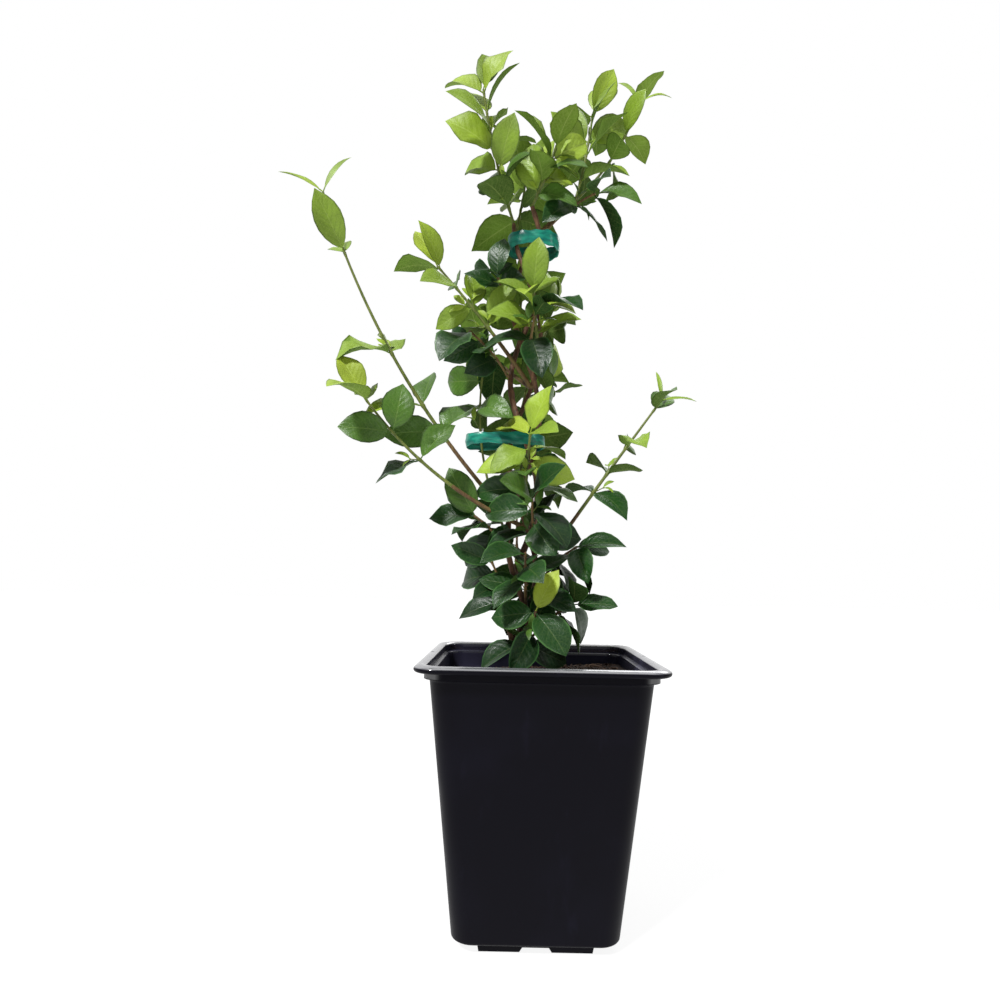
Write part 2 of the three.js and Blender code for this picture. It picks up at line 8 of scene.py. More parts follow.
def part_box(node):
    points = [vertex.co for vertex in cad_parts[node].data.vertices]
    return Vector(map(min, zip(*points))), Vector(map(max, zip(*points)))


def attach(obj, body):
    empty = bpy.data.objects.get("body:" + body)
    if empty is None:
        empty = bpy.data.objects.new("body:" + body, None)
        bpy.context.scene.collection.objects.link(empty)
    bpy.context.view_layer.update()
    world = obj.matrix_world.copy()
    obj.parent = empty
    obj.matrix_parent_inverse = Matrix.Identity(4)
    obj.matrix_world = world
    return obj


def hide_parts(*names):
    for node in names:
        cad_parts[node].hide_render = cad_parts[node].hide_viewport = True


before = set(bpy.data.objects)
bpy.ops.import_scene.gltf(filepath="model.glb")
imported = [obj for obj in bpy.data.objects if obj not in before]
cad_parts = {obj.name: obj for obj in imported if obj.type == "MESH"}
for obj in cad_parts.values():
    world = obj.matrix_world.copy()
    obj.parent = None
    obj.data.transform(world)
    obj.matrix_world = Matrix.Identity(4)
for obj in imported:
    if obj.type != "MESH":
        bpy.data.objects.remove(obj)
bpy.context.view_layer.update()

# Pot
# A square one-gallon nursery pot, moulded in one piece from black polypropylene with thin tapering walls.
# A rolled rim and a collar stiffen its mouth, and it stands on a cross-shaped plinth, notched in each side.

MM = 0.001
pot_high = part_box("pot")[1]
POT_HEIGHT = pot_high.z
RIM_HALF = pot_high.x
RIM_CORNER = 15 * MM
RIM_FLANGE = 7.6 * MM
RIM_LIP = 5 * MM
RIM_ROUND = 2.2 * MM
RIM_CROWN = 4.4 * MM
COLLAR_HALF = 76.8 * MM
COLLAR_FOOT = POT_HEIGHT - 9.5 * MM
COLLAR_STEP = 2.5 * MM
LEDGE_ROUND = 1.2 * MM
LEDGE_FALL = 0.5 * MM
WALL_TOP_HALF = 73.4 * MM
WALL_FOOT_HALF = 57.5 * MM
WALL = 1.4 * MM
WALL_CORNER = 14 * MM
FOOT_HEIGHT = 6.5 * MM
FOOT_ROUND = 2.6 * MM
PLINTH_REACH = 52 * MM
PLINTH_HALF = 39.5 * MM
PLINTH_DRAFT = 1.2 * MM
FLOOR_TOP = FOOT_HEIGHT + 2.2 * MM
NOTCH_HALF = 11.5 * MM
NOTCH_SLOPE = 2.6 * MM
NOTCH_HEIGHT = 3.4 * MM
NOTCH_DEPTH = 26 * MM
DRAIN_PLACE = 45 * MM
DRAIN_RADIUS = 4 * MM
TAG_HOLE_RADIUS = 1.4 * MM
CORNER_STEPS = 9
HOLE_SIDES = 24
SHOULDER_ANGLES = (20, 40, 60, 75)
INNER_FROM = 10 * MM
RIM_POLISH_FROM = POT_HEIGHT - 2.2 * MM
POT_BLACK = (8, 7, 15)
POT_HAZE = (24, 23, 37)
INNER_WALL_PAINTED_LIGHT = (58, 57, 78)
RIM_PAINTED_SHINE = (110, 110, 116)


def square_ring(half, z, corner):
    """The points of a level square with round corners, anticlockwise from +X."""
    points = []
    for quarter in range(4):
        middle = (quarter + 0.5) * math.pi / 2
        reach = (half - corner) * math.sqrt(2)
        for step in range(CORNER_STEPS + 1):
            angle = (quarter + step / CORNER_STEPS) * math.pi / 2
            points.append((
                reach * math.cos(middle) + corner * math.cos(angle),
                reach * math.sin(middle) + corner * math.sin(angle),
                z,
            ))
    return points


def square_lathe(profile):
    """Vertices and faces of a closed body whose profile starts and ends on the axis."""
    rings = [square_ring(*row) for row in profile[1:-1]]
    count = len(rings[0])
    verts = [point for ring in rings for point in ring]
    first = len(verts)
    verts += [(0, 0, profile[0][1]), (0, 0, profile[-1][1])]
    faces = []
    for row in range(len(rings) - 1):
        for i in range(count):
            j = (i + 1) % count
            faces.append((row * count + i, row * count + j, (row + 1) * count + j, (row + 1) * count + i))
    last = (len(rings) - 1) * count
    for i in range(count):
        j = (i + 1) % count
        faces.append((j, i, first))
        faces.append((last + i, last + j, first + 1))
    return verts, faces


def arc(half, z, wide, high, start, stop, corner, steps=5):
    """Rings round a moulded edge, whose section is part of an ellipse, with its angles in degrees."""
    rings = []
    for step in range(steps + 1):
        angle = math.radians(start + (stop - start) * step / steps)
        rings.append((half + wide * math.cos(angle), z + high * math.sin(angle), corner))
    return rings


def wall_inside(z):
    """Half the width of the pot's inside at a height."""
    share = (z - FOOT_HEIGHT) / (COLLAR_FOOT - COLLAR_STEP - FOOT_HEIGHT)
    return WALL_FOOT_HALF + (WALL_TOP_HALF - WALL_FOOT_HALF) * share - WALL


def new_piece(name, verts, faces):
    """A mesh object at the origin, linked to the scene."""
    mesh = bpy.data.meshes.new(name)
    mesh.from_pydata(verts, [], faces)
    mesh.update()
    piece = bpy.data.objects.new(name, mesh)
    bpy.context.scene.collection.objects.link(piece)
    return piece


def shade_smooth(piece, sharp_degrees):
    """Smooth shading with hard edges kept where faces meet at more than the angle."""
    mesh = piece.data
    mesh.shade_smooth()
    mesh.set_sharp_from_angle(angle=math.radians(sharp_degrees))


def evaluated_piece(source, name):
    """The source with its modifiers applied, as a new plain mesh object. The source goes."""
    graph = bpy.context.evaluated_depsgraph_get()
    mesh = bpy.data.meshes.new_from_object(source.evaluated_get(graph), depsgraph=graph)
    source.modifiers.clear()
    bpy.data.objects.remove(source)
    mesh.name = name
    piece = bpy.data.objects.new(name, mesh)
    bpy.context.scene.collection.objects.link(piece)
    return piece


IN_CORNER = WALL_CORNER - WALL
lip = POT_HEIGHT - RIM_LIP + RIM_ROUND
crown = RIM_HALF - RIM_CROWN
foot = WALL_FOOT_HALF - FOOT_ROUND
foot_arc = arc(foot, FOOT_HEIGHT + FOOT_ROUND, FOOT_ROUND, FOOT_ROUND, -90, 0, WALL_CORNER)
lip_arc = arc(RIM_HALF - RIM_ROUND, lip, RIM_ROUND, RIM_ROUND, -90, 0, RIM_CORNER)
lip_arc += arc(crown, lip, RIM_CROWN, POT_HEIGHT - lip, 0, 90, RIM_CORNER, steps=8)[1:]
lip_arc += arc(crown, POT_HEIGHT - RIM_ROUND, RIM_FLANGE - RIM_CROWN, RIM_ROUND, 90, 180, RIM_CORNER)[1:]
ledge = COLLAR_FOOT + COLLAR_STEP - LEDGE_ROUND
ledge_arc = arc(wall_inside(ledge) + LEDGE_ROUND, ledge, LEDGE_ROUND, LEDGE_ROUND, 90, 180, IN_CORNER)
shoulder = []
for angle in np.radians(SHOULDER_ANGLES):
    half = COLLAR_HALF - (COLLAR_HALF - WALL_TOP_HALF) * math.cos(angle)
    shoulder.append((half, COLLAR_FOOT - COLLAR_STEP * (1 - math.sin(angle)), WALL_CORNER))
pot_shell = new_piece("pot_shell", *square_lathe([
    (0, FOOT_HEIGHT, 0),
    *foot_arc,
    (WALL_TOP_HALF, COLLAR_FOOT - COLLAR_STEP, WALL_CORNER),
    *shoulder,
    (COLLAR_HALF, COLLAR_FOOT, WALL_CORNER),
    (COLLAR_HALF, POT_HEIGHT - RIM_LIP, WALL_CORNER),
    *lip_arc,
    (COLLAR_HALF - WALL, COLLAR_FOOT + COLLAR_STEP + LEDGE_FALL, IN_CORNER),
    *ledge_arc,
    (wall_inside(FLOOR_TOP + FOOT_ROUND), FLOOR_TOP + FOOT_ROUND, IN_CORNER),
    (wall_inside(FLOOR_TOP) - FOOT_ROUND, FLOOR_TOP, IN_CORNER - FOOT_ROUND),
    (0, FLOOR_TOP, 0),
]))


def turned(points, quarter):
    """Points turned by quarter turns about the pot's axis."""
    angle = quarter * math.pi / 2
    return [
        (x * math.cos(angle) - y * math.sin(angle), x * math.sin(angle) + y * math.cos(angle), z)
        for x, y, z in points
    ]


def prism(low, high):
    """Vertices and faces between two outlines of equal length, the low one anticlockwise from below."""
    count = len(low)
    faces = [tuple(range(count)), tuple(range(2 * count - 1, count - 1, -1))]
    faces += [((i + 1) % count, i, count + i, count + (i + 1) % count) for i in range(count)]
    return low + high, faces


def round_hole(x, y, radius, low, high):
    """A round cutter through the level faces between two heights."""
    angles = np.arange(HOLE_SIDES) * -2 * math.pi / HOLE_SIDES
    circle = [(radius * math.cos(angle), radius * math.sin(angle)) for angle in angles]
    return prism([(x + dx, y + dy, low) for dx, dy in circle], [(x + dx, y + dy, high) for dx, dy in circle])


def cross(z, inset):
    """The plinth's outline at a height, clockwise from above."""
    reach = PLINTH_REACH - inset
    half = PLINTH_HALF - inset
    points = []
    for quarter in (4, 3, 2, 1):
        points += turned([(half, half, z), (reach, half, z), (reach, -half, z)], quarter)
    return points


cutters = []
for quarter in range(4):
    front = -PLINTH_REACH - MM
    back = -PLINTH_REACH + NOTCH_DEPTH
    low = [(-NOTCH_HALF, front, 0), (-NOTCH_HALF, back, 0), (NOTCH_HALF, back, 0), (NOTCH_HALF, front, 0)]
    high = [(math.copysign(NOTCH_HALF - NOTCH_SLOPE, x), y, NOTCH_HEIGHT) for x, y, z in low]
    low = [(x, y, -MM) for x, y, z in low]
    cutters.append(prism(turned(low, quarter), turned(high, quarter)))
    x, y, z = turned([(DRAIN_PLACE, DRAIN_PLACE, 0)], quarter)[0]
    cutters.append(round_hole(x, y, DRAIN_RADIUS, FOOT_HEIGHT - MM, FLOOR_TOP + MM))
for side in (-1, 1):
    x = side * (RIM_HALF - RIM_FLANGE / 2)
    cutters.append(round_hole(x, 0, TAG_HOLE_RADIUS, POT_HEIGHT - 2 * RIM_LIP, POT_HEIGHT + MM))
cut_verts = []
cut_faces = []
for verts, faces in cutters:
    cut_faces += [tuple(i + len(cut_verts) for i in face) for face in faces]
    cut_verts += verts
pot_cutter = new_piece("pot_cutter", cut_verts, cut_faces)
plinth = new_piece("plinth", *prism(cross(0, PLINTH_DRAFT), cross(FOOT_HEIGHT + MM, 0)))
for operation, tool in (("UNION", plinth), ("DIFFERENCE", pot_cutter)):
    boolean = pot_shell.modifiers.new(operation, "BOOLEAN")
    boolean.operation = operation
    boolean.object = tool
pot = evaluated_piece(pot_shell, "nursery_pot")
bpy.data.objects.remove(plinth)
bpy.data.objects.remove(pot_cutter)
shade_smooth(pot, sharp_degrees=35)

# A face belongs to the inner wall where it looks at the axis from further off than INNER_FROM.
inner_wall = pot.data.attributes.new("inner_wall", "FLOAT", "FACE")
for face in pot.data.polygons:
    looks_out = face.center.x * face.normal.x + face.center.y * face.normal.y
    inner_wall.data[face.index].value = float(looks_out < -INNER_FROM)


class Wire:
    """An output socket in a node tree: arithmetic on it adds Math nodes, and node() adds any other."""

    def __init__(self, tree, made=None, output=0):
        self.tree = tree
        self.made = made
        self.socket = made.outputs[output] if made and made.outputs else None

    def node(self, kind, settings=None, values=None, output=0):
        """A new node of a kind: its settings are made first, and then its sockets' values and links."""
        made = self.tree.nodes.new(kind)
        for name, value in (settings or {}).items():
            setattr(made, name, value)
        for key, value in (values or {}).items():
            if isinstance(value, Wire):
                self.tree.links.new(value.socket, made.inputs[key])
            else:
                made.inputs[key].default_value = value
        return Wire(self.tree, made, output)

    def out(self, output):
        """Another output of the same node."""
        return Wire(self.tree, self.made, output)

    def math(self, operation, *terms):
        """A Math node on the terms, which are wires or numbers."""
        return self.node("ShaderNodeMath", {"operation": operation}, dict(enumerate(terms)))

    def __add__(self, other):
        return self.math("ADD", self, other)

    def __sub__(self, other):
        return self.math("SUBTRACT", self, other)

    def __rsub__(self, other):
        return self.math("SUBTRACT", other, self)

    def __mul__(self, other):
        return self.math("MULTIPLY", self, other)

    __radd__ = __add__
    __rmul__ = __mul__

    def __abs__(self):
        return self.math("ABSOLUTE", self)

    def rise(self, low, high):
        """0 below low, 1 above high and smooth between them."""
        values = {"Value": self, "From Min": low, "From Max": high}
        return self.node("ShaderNodeMapRange", {"interpolation_type": "SMOOTHSTEP"}, values)

    def tint(self, ground, over):
        """A colour that goes from ground to over as this value goes from 0 to 1."""
        settings = {"data_type": "RGBA"}
        return self.node("ShaderNodeMix", settings, {0: self, 6: ground, 7: over}, output=2)


def linear(red, green, blue):
    """A colour given 0 to 255 a channel, as the shader takes it."""
    shares = [channel / 255 for channel in (red, green, blue)]
    light = [((share + 0.055) / 1.055) ** 2.4 if share > 0.04 else share / 12.92 for share in shares]
    return (*light, 1.0)


class Finish:
    """A material under way: constants go straight on its shader, and patterns are linked to it."""

    NOISE_ROUGHNESS = 0.55

    def __init__(self, name, **constants):
        self.material = bpy.data.materials.new(name)
        self.material.use_nodes = True
        self.shader = self.material.node_tree.nodes["Principled BSDF"]
        self.start = Wire(self.material.node_tree)
        self.place = self.start.node("ShaderNodeTexCoord", output=3)
        for key, value in constants.items():
            self.shader.inputs[key.replace("_", " ")].default_value = value

    def link(self, key, wire):
        """Lets a wire drive one of the shader's sockets."""
        self.material.node_tree.links.new(wire.socket, self.shader.inputs[key])

    def noise(self, scale, detail=3.0, stretch=(1, 1, 1)):
        """A noise pattern that stays on the piece."""
        drawn = self.start.node("ShaderNodeMapping", values={"Vector": self.place, "Scale": stretch})
        values = {"Vector": drawn, "Scale": scale, "Detail": detail, "Roughness": self.NOISE_ROUGHNESS}
        return self.start.node("ShaderNodeTexNoise", values=values)

    def bump(self, height, strength, distance):
        """Makes a pattern stand out as fine relief."""
        values = {"Height": height, "Strength": strength, "Distance": distance}
        self.link("Normal", self.start.node("ShaderNodeBump", values=values))


plastic = Finish(
    "black_polypropylene", **{"Specular IOR Level": 0.08, "Coat Roughness": 0.1, "Coat IOR": 3.4},
)
scuffs = plastic.noise(90, detail=5, stretch=(1, 1, 0.25)).rise(0.6, 0.78)
dust = plastic.noise(14, detail=4).rise(0.45, 0.8)
haze = scuffs * 0.3 + dust * 0.25
body = haze.tint(linear(*POT_BLACK), linear(*POT_HAZE))
plastic.link("Roughness", 0.34 + 0.14 * plastic.noise(40) + 0.12 * dust)
axes = plastic.start.node("ShaderNodeSeparateXYZ", values={0: plastic.place})
up = axes.out(2)
rim_top = up.rise(RIM_POLISH_FROM, RIM_POLISH_FROM + MM)
from_axis = axes.math("MAXIMUM", abs(axes), abs(axes.out(1)))
within = 1.0 - from_axis.rise(COLLAR_HALF - WALL, COLLAR_HALF)
mouth = within * up.rise(COLLAR_FOOT, COLLAR_FOOT + MM)
polish = rim_top.math("MAXIMUM", rim_top, 0.3 * mouth)
inner = plastic.start.node("ShaderNodeAttribute", {"attribute_name": "inner_wall"}, output=2)
# Painted light: the shaded inner wall is made lighter and bluer, more so where the dust noise is high.
painted_inner_light = inner * (0.4 + 0.6 * dust)
body = painted_inner_light.tint(body, linear(*INNER_WALL_PAINTED_LIGHT))
# Painted reflection: the top band of the rim is painted light grey under its coat, standing in for the bright
# room mirrored in it.
plastic.link("Base Color", (0.8 * rim_top).tint(body, linear(*RIM_PAINTED_SHINE)))
plastic.link("Coat Weight", polish * (1.0 - 0.5 * scuffs))
plastic.bump(plastic.noise(900, detail=2), strength=0.08, distance=0.2 * MM)
pot.data.materials.append(plastic.material)
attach(pot, "root")
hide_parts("pot")

# Potting mix
# Composted bark with peat and a little perlite fills the pot to a finger's breadth below the rim.
# The body is one settled mass, and loose crumbs, bark chips and white perlite lie on top of it.

soil_low, soil_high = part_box("soil")
MIX_BOTTOM = soil_low.z
MIX_TOP = soil_high.z
MIX_HALF = soil_high.x
MIX_GAP = 0.3 * MM
MIX_CORNER = IN_CORNER - MIX_GAP
MIX_CORNER_SHARE = 0.6
MIX_RINGS = 26
MIX_SWELL = 1.6 * MM
MIX_SWELL_WAVE = 22 * MM
MIX_GRAIN = 0.7 * MM
MIX_GRAIN_WAVE = 4 * MM
MIX_EDGE = 5 * MM
MIX_DIP = 8 * MM
MIX_DIP_FROM = -24 * MM
MIX_DIP_TO = -46 * MM
PEAT_DARK = (22, 18, 17)
PEAT_FIBRE = (78, 62, 54)

top_rings = []
for ring in range(MIX_RINGS):
    half = MIX_HALF * (1 - ring / MIX_RINGS)
    top_rings.append((half, MIX_TOP, min(MIX_CORNER, half * MIX_CORNER_SHARE)))
mix_verts, mix_faces = square_lathe([
    (0, MIX_BOTTOM, 0),
    (wall_inside(MIX_BOTTOM) - FOOT_ROUND - MIX_GAP, MIX_BOTTOM, MIX_CORNER - FOOT_ROUND),
    (wall_inside(MIX_BOTTOM + FOOT_ROUND) - MIX_GAP, MIX_BOTTOM + FOOT_ROUND, MIX_CORNER),
    *top_rings,
    (0, MIX_TOP, 0),
])


def eased(share):
    """A share held between 0 and 1, with a soft start and end."""
    held = min(1.0, max(0.0, share))
    return held * held * (3 - 2 * held)


def settled(x, y, z):
    """A point of the mix where it lies: its top is uneven and has sunk at one side, along the wall."""
    if z < MIX_TOP:
        return x, y, z
    swell = noise.noise(Vector((x, y, 0)) / MIX_SWELL_WAVE) * MIX_SWELL
    grain = noise.noise(Vector((x, y, 0.5)) / MIX_GRAIN_WAVE) * MIX_GRAIN
    sunk = MIX_DIP * eased((x - MIX_DIP_FROM) / (MIX_DIP_TO - MIX_DIP_FROM))
    level = z + swell + grain - MIX_SWELL - sunk
    draw_in = min(1.0, wall_inside(level) / wall_inside(MIX_TOP))
    return x * draw_in, y * draw_in, level


mix_verts = [settled(*point) for point in mix_verts]
mix = new_piece("potting_mix", mix_verts, mix_faces)
litter = mix.data.attributes.new("litter", "FLOAT", "POINT")
for index, (x, y, z) in enumerate(mix_verts):
    open_top = max(abs(x), abs(y)) < MIX_HALF - MIX_EDGE and z > MIX_TOP - MIX_DIP - 4 * MIX_SWELL
    litter.data[index].value = float(open_top)
shade_smooth(mix, sharp_degrees=60)

peat = Finish("composted_bark", Roughness=0.95, **{"Specular IOR Level": 0.2})
clods = peat.noise(420, detail=6)
fibres = peat.noise(160, detail=4, stretch=(1, 0.25, 1)).rise(0.52, 0.7)
peat.link("Base Color", (0.5 * clods + 0.5 * fibres).tint(linear(*PEAT_DARK), linear(*PEAT_FIBRE)))
peat.bump(clods, strength=0.9, distance=1.2 * MM)
mix.data.materials.append(peat.material)


def new_tree(name, **inputs):
    """A Geometry Nodes tree with named inputs, and its input wire."""
    tree = bpy.data.node_groups.new(name, "GeometryNodeTree")
    tree.interface.new_socket("Geometry", in_out="INPUT", socket_type="NodeSocketGeometry")
    for label, kind in inputs.items():
        tree.interface.new_socket(label, in_out="INPUT", socket_type=f"NodeSocket{kind}")
    tree.interface.new_socket("Geometry", in_out="OUTPUT", socket_type="NodeSocketGeometry")
    return tree, Wire(tree).node("NodeGroupInput")


def end_tree(wire, material):
    """Ends a tree in real geometry with its material on."""
    whole = wire.node("GeometryNodeRealizeInstances", values={0: wire})
    dressed = wire.node("GeometryNodeSetMaterial", values={"Geometry": whole, "Material": material})
    wire.node("NodeGroupOutput", values={0: dressed})


def grown_piece(source, tree, name, **inputs):
    """Runs a tree on the source with its inputs set, and gives the result as a plain mesh object."""
    modifier = source.modifiers.new(name, "NODES")
    modifier.node_group = tree
    for item in tree.interface.items_tree:
        if item.in_out == "INPUT" and item.name in inputs:
            modifier[item.identifier] = inputs[item.name]
    return evaluated_piece(source, name)


BIT_JITTER = 0.16
BIT_LEAN = 0.5
BIT_TURN = 6.28
BIT_SMALLEST = 0.45
litter_tree, given = new_tree(
    "loose_litter", Density="Float", Length="Float", Breadth="Float", Flatness="Float", Sink="Float",
    Seed="Int", Material="Material",
)
density, bit_length, bit_breadth, flatness, sink, seed, litter_finish = (given.out(i) for i in range(1, 8))
open_top = given.node("GeometryNodeInputNamedAttribute", {"data_type": "FLOAT"}, {"Name": "litter"})
spots = given.node(
    "GeometryNodeDistributePointsOnFaces", {"distribute_method": "RANDOM"},
    {"Mesh": given, "Density": density * open_top, "Seed": seed},
)
bit = given.node("GeometryNodeMeshIcoSphere", values={"Radius": 0.5, "Subdivisions": 1})
jitter = given.node("FunctionNodeRandomValue", {"data_type": "FLOAT_VECTOR"}, {
    0: (-BIT_JITTER, -BIT_JITTER, -BIT_JITTER), 1: (BIT_JITTER, BIT_JITTER, BIT_JITTER), "Seed": seed,
})
bit = given.node("GeometryNodeSetPosition", values={"Geometry": bit, "Offset": jitter})
tumble = given.node("FunctionNodeRandomValue", {"data_type": "FLOAT_VECTOR"}, {
    0: (-BIT_LEAN, -BIT_LEAN, 0.0), 1: (BIT_LEAN, BIT_LEAN, BIT_TURN), "Seed": seed + 1,
})
grade = given.node("FunctionNodeRandomValue", {"data_type": "FLOAT"}, {
    2: BIT_SMALLEST, 3: 1.0, "Seed": seed + 2,
}, output=1)
bit_size = given.node("ShaderNodeCombineXYZ", values={
    0: bit_length * grade, 1: bit_breadth * grade, 2: flatness * grade,
})
bits = given.node(
    "GeometryNodeInstanceOnPoints",
    values={"Points": spots, "Instance": bit, "Rotation": tumble, "Scale": bit_size},
)
lift = given.node("ShaderNodeCombineXYZ", values={2: 0.0 - sink})
bits = given.node("GeometryNodeTranslateInstances", values={0: bits, "Translation": lift})
end_tree(bits, litter_finish)

CHIP_DARK = (50, 38, 33)
CHIP_PALE = (122, 97, 80)
CRUMB_DARK = (32, 25, 23)
CRUMB_PALE = (104, 83, 72)
PERLITE_GREY = (190, 188, 182)
PERLITE_WHITE = (240, 238, 232)
bark_chip = Finish("bark_chips", Roughness=0.9, **{"Specular IOR Level": 0.2})
chip_grain = bark_chip.noise(300, detail=4, stretch=(0.4, 1, 1))
chip_patch = bark_chip.noise(70, detail=2).rise(0.35, 0.65)
chip_tone = 0.4 * chip_grain + 0.6 * chip_patch
bark_chip.link("Base Color", chip_tone.tint(linear(*CHIP_DARK), linear(*CHIP_PALE)))
bark_chip.bump(chip_grain, strength=0.6, distance=0.5 * MM)
crumb = Finish("peat_crumbs", Roughness=0.95, **{"Specular IOR Level": 0.15})
crumb_tone = crumb.noise(130, detail=3).rise(0.3, 0.7)
crumb.link("Base Color", crumb_tone.tint(linear(*CRUMB_DARK), linear(*CRUMB_PALE)))
perlite = Finish("perlite", Roughness=0.8)
perlite_tone = perlite.noise(600, detail=3)
perlite.link("Base Color", perlite_tone.tint(linear(*PERLITE_GREY), linear(*PERLITE_WHITE)))

LITTER = (
    ("mix_crumbs", crumb, dict(Density=130000.0, Length=2.4, Breadth=1.9, Flatness=1.5, Sink=0.1, Seed=11)),
    ("mix_chips", bark_chip, dict(Density=21000.0, Length=8.5, Breadth=3.4, Flatness=1.8, Sink=0.2, Seed=23)),
    ("mix_perlite", perlite, dict(Density=1200.0, Length=2.1, Breadth=1.9, Flatness=1.7, Sink=0.1, Seed=37)),
)
for name, finish, sizes in LITTER:
    for label in ("Length", "Breadth", "Flatness", "Sink"):
        sizes[label] *= MM
    ground = mix.copy()
    ground.data = mix.data.copy()
    bpy.context.scene.collection.objects.link(ground)
    loose = grown_piece(ground, litter_tree, name, Material=finish.material, **sizes)
    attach(loose, "root")
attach(mix, "root")
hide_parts("soil")

# Stems
# Three woody stems rise from one crown near the middle of the pot and twine up round each other.
# Their bark is thin and brown with pale specks, and they swell a little where leaves once stood.

# The plant is worked out in millimetres, and made metres where its curves and meshes are.
COLUMN_X = -14.0
COLUMN_FOOT_RADIUS = 5.5
COLUMN_RADIUS = 11.0
COLUMN_SPREAD = 70.0
COLUMN_PITCH = 174.0
FLARE_HEIGHT = 8.0
SOIL_TOP = 180.0
GAP = 0.3
STEMS = dict(
    stem_main=dict(lead=0, top=522, foot=2.9, tip=1.6, flare=1.5),
    stem_second=dict(lead=120, top=503, foot=2.4, tip=1.5, flare=1.1),
    stem_third=dict(lead=240, top=515, foot=2.2, tip=1.4, flare=1.0),
)
STEM_STEPS = 260
STEM_SIDES = 14
SCAR_SPACING = 43.0
SCAR_LENGTH = 2.6
SCAR_SWELL = 0.22
SCAR_STAGGER = 9
FURROW_STRETCH = (1.0, 1.0, 0.22)
OLD_BARK = dict(ground=(66, 44, 32), streak=(136, 98, 70), speck=(176, 150, 122), rough=0.55)
UP = np.array((0.0, 0.0, 1.0))


def unit(vector):
    """The vector at length 1."""
    return vector / np.linalg.norm(vector)


class Line:
    """A line through space, from share 0 to share 1, in millimetres. Each kind gives its own point()."""

    TANGENT_STEP = 0.0001
    HALVINGS = 40

    def way(self, share):
        """The direction of travel at a share."""
        before = max(0.0, share - self.TANGENT_STEP)
        after = min(1.0, share + self.TANGENT_STEP)
        return unit(self.point(after) - self.point(before))

    def share_at(self, height):
        """The share at which the line reaches a height."""
        low = 0.0
        high = 1.0
        for halving in range(self.HALVINGS):
            middle = (low + high) / 2
            if self.point(middle)[2] < height:
                low = middle
            else:
                high = middle
        return (low + high) / 2


class Stem(Line):
    """A stem that twines round the column from the mix to its top."""

    cap_way = UP

    def __init__(self, lead, top, foot, tip, flare):
        self.lead = lead
        self.top = top
        self.foot = foot
        self.tip = tip
        self.flare = flare

    def point(self, share):
        z = SOIL_TOP + GAP + (self.top - SOIL_TOP - GAP) * share
        rise = z - SOIL_TOP
        radius = COLUMN_FOOT_RADIUS + (COLUMN_RADIUS - COLUMN_FOOT_RADIUS) * eased(rise / COLUMN_SPREAD)
        angle = math.radians(self.lead - 90 - 360 * rise / COLUMN_PITCH)
        return np.array((COLUMN_X + radius * math.cos(angle), radius * math.sin(angle), z))

    def radius(self, share):
        flare = self.flare * math.exp(-share * (self.top - SOIL_TOP) / FLARE_HEIGHT)
        return self.foot + (self.tip - self.foot) * share + flare


limbs = {name: Stem(**sizes) for name, sizes in STEMS.items()}

limb_tree, given = new_tree("limb", Sides="Int", Relief="Float", Grain="Float", Material="Material")
sides, relief, grain, limb_finish = (given.out(i) for i in range(1, 5))
section = given.node("GeometryNodeCurvePrimitiveCircle", values={"Resolution": sides, "Radius": 1.0})
thickness = given.node("GeometryNodeInputRadius")
limb = given.node(
    "GeometryNodeCurveToMesh",
    values={"Curve": given, "Profile Curve": section, "Scale": thickness, "Fill Caps": True},
)
where = given.node("GeometryNodeInputPosition")
drawn_out = given.node("ShaderNodeVectorMath", {"operation": "MULTIPLY"}, {0: where, 1: FURROW_STRETCH})
furrows = given.node("ShaderNodeTexNoise", values={"Vector": drawn_out, "Scale": grain, "Detail": 4.0})
outwards = given.node("GeometryNodeInputNormal")
push = given.node(
    "ShaderNodeVectorMath", {"operation": "SCALE"}, {0: outwards, "Scale": (furrows - 0.5) * relief},
)
limb = given.node("GeometryNodeSetPosition", values={"Geometry": limb, "Offset": push})
limb = given.node("GeometryNodeSetShadeSmooth", values={"Geometry": limb})
end_tree(limb, limb_finish)


def limb_curve(name, rows):
    """A curve object with one spline for each row of points and radii in millimetres."""
    curve = bpy.data.curves.new(name, "CURVE")
    curve.dimensions = "3D"
    for points, radii in rows:
        spline = curve.splines.new("POLY")
        spline.points.add(len(points) - 1)
        for knot, point, radius in zip(spline.points, points, radii):
            knot.co = (*(point * MM), 1.0)
            knot.radius = radius * MM
    holder = bpy.data.objects.new(name, curve)
    bpy.context.scene.collection.objects.link(holder)
    return holder


def bark_finish(name, ground, streak, speck, rough):
    """Bark with streaks along the limb and pale specks."""
    bark = Finish(name, **{"Specular IOR Level": 0.35})
    streaks = bark.noise(520, detail=5, stretch=(1, 1, 0.12)).rise(0.35, 0.7)
    patches = bark.noise(45, detail=3).rise(0.4, 0.66)
    specks = bark.noise(1500, detail=1).rise(0.68, 0.76)
    body = (0.6 * streaks + 0.4 * patches).tint(linear(*ground), linear(*streak))
    bark.link("Base Color", (0.55 * specks).tint(body, linear(*speck)))
    bark.link("Roughness", rough + 0.2 * streaks)
    bark.bump(streaks + specks, strength=0.5, distance=0.3 * MM)
    return bark


def scar_swell(height):
    """How far a stem swells near the scar of an old leaf pair, as a share of its radius."""
    off = (height + SCAR_SPACING / 2) % SCAR_SPACING - SCAR_SPACING / 2
    return SCAR_SWELL * math.exp(-(off / SCAR_LENGTH) ** 2)


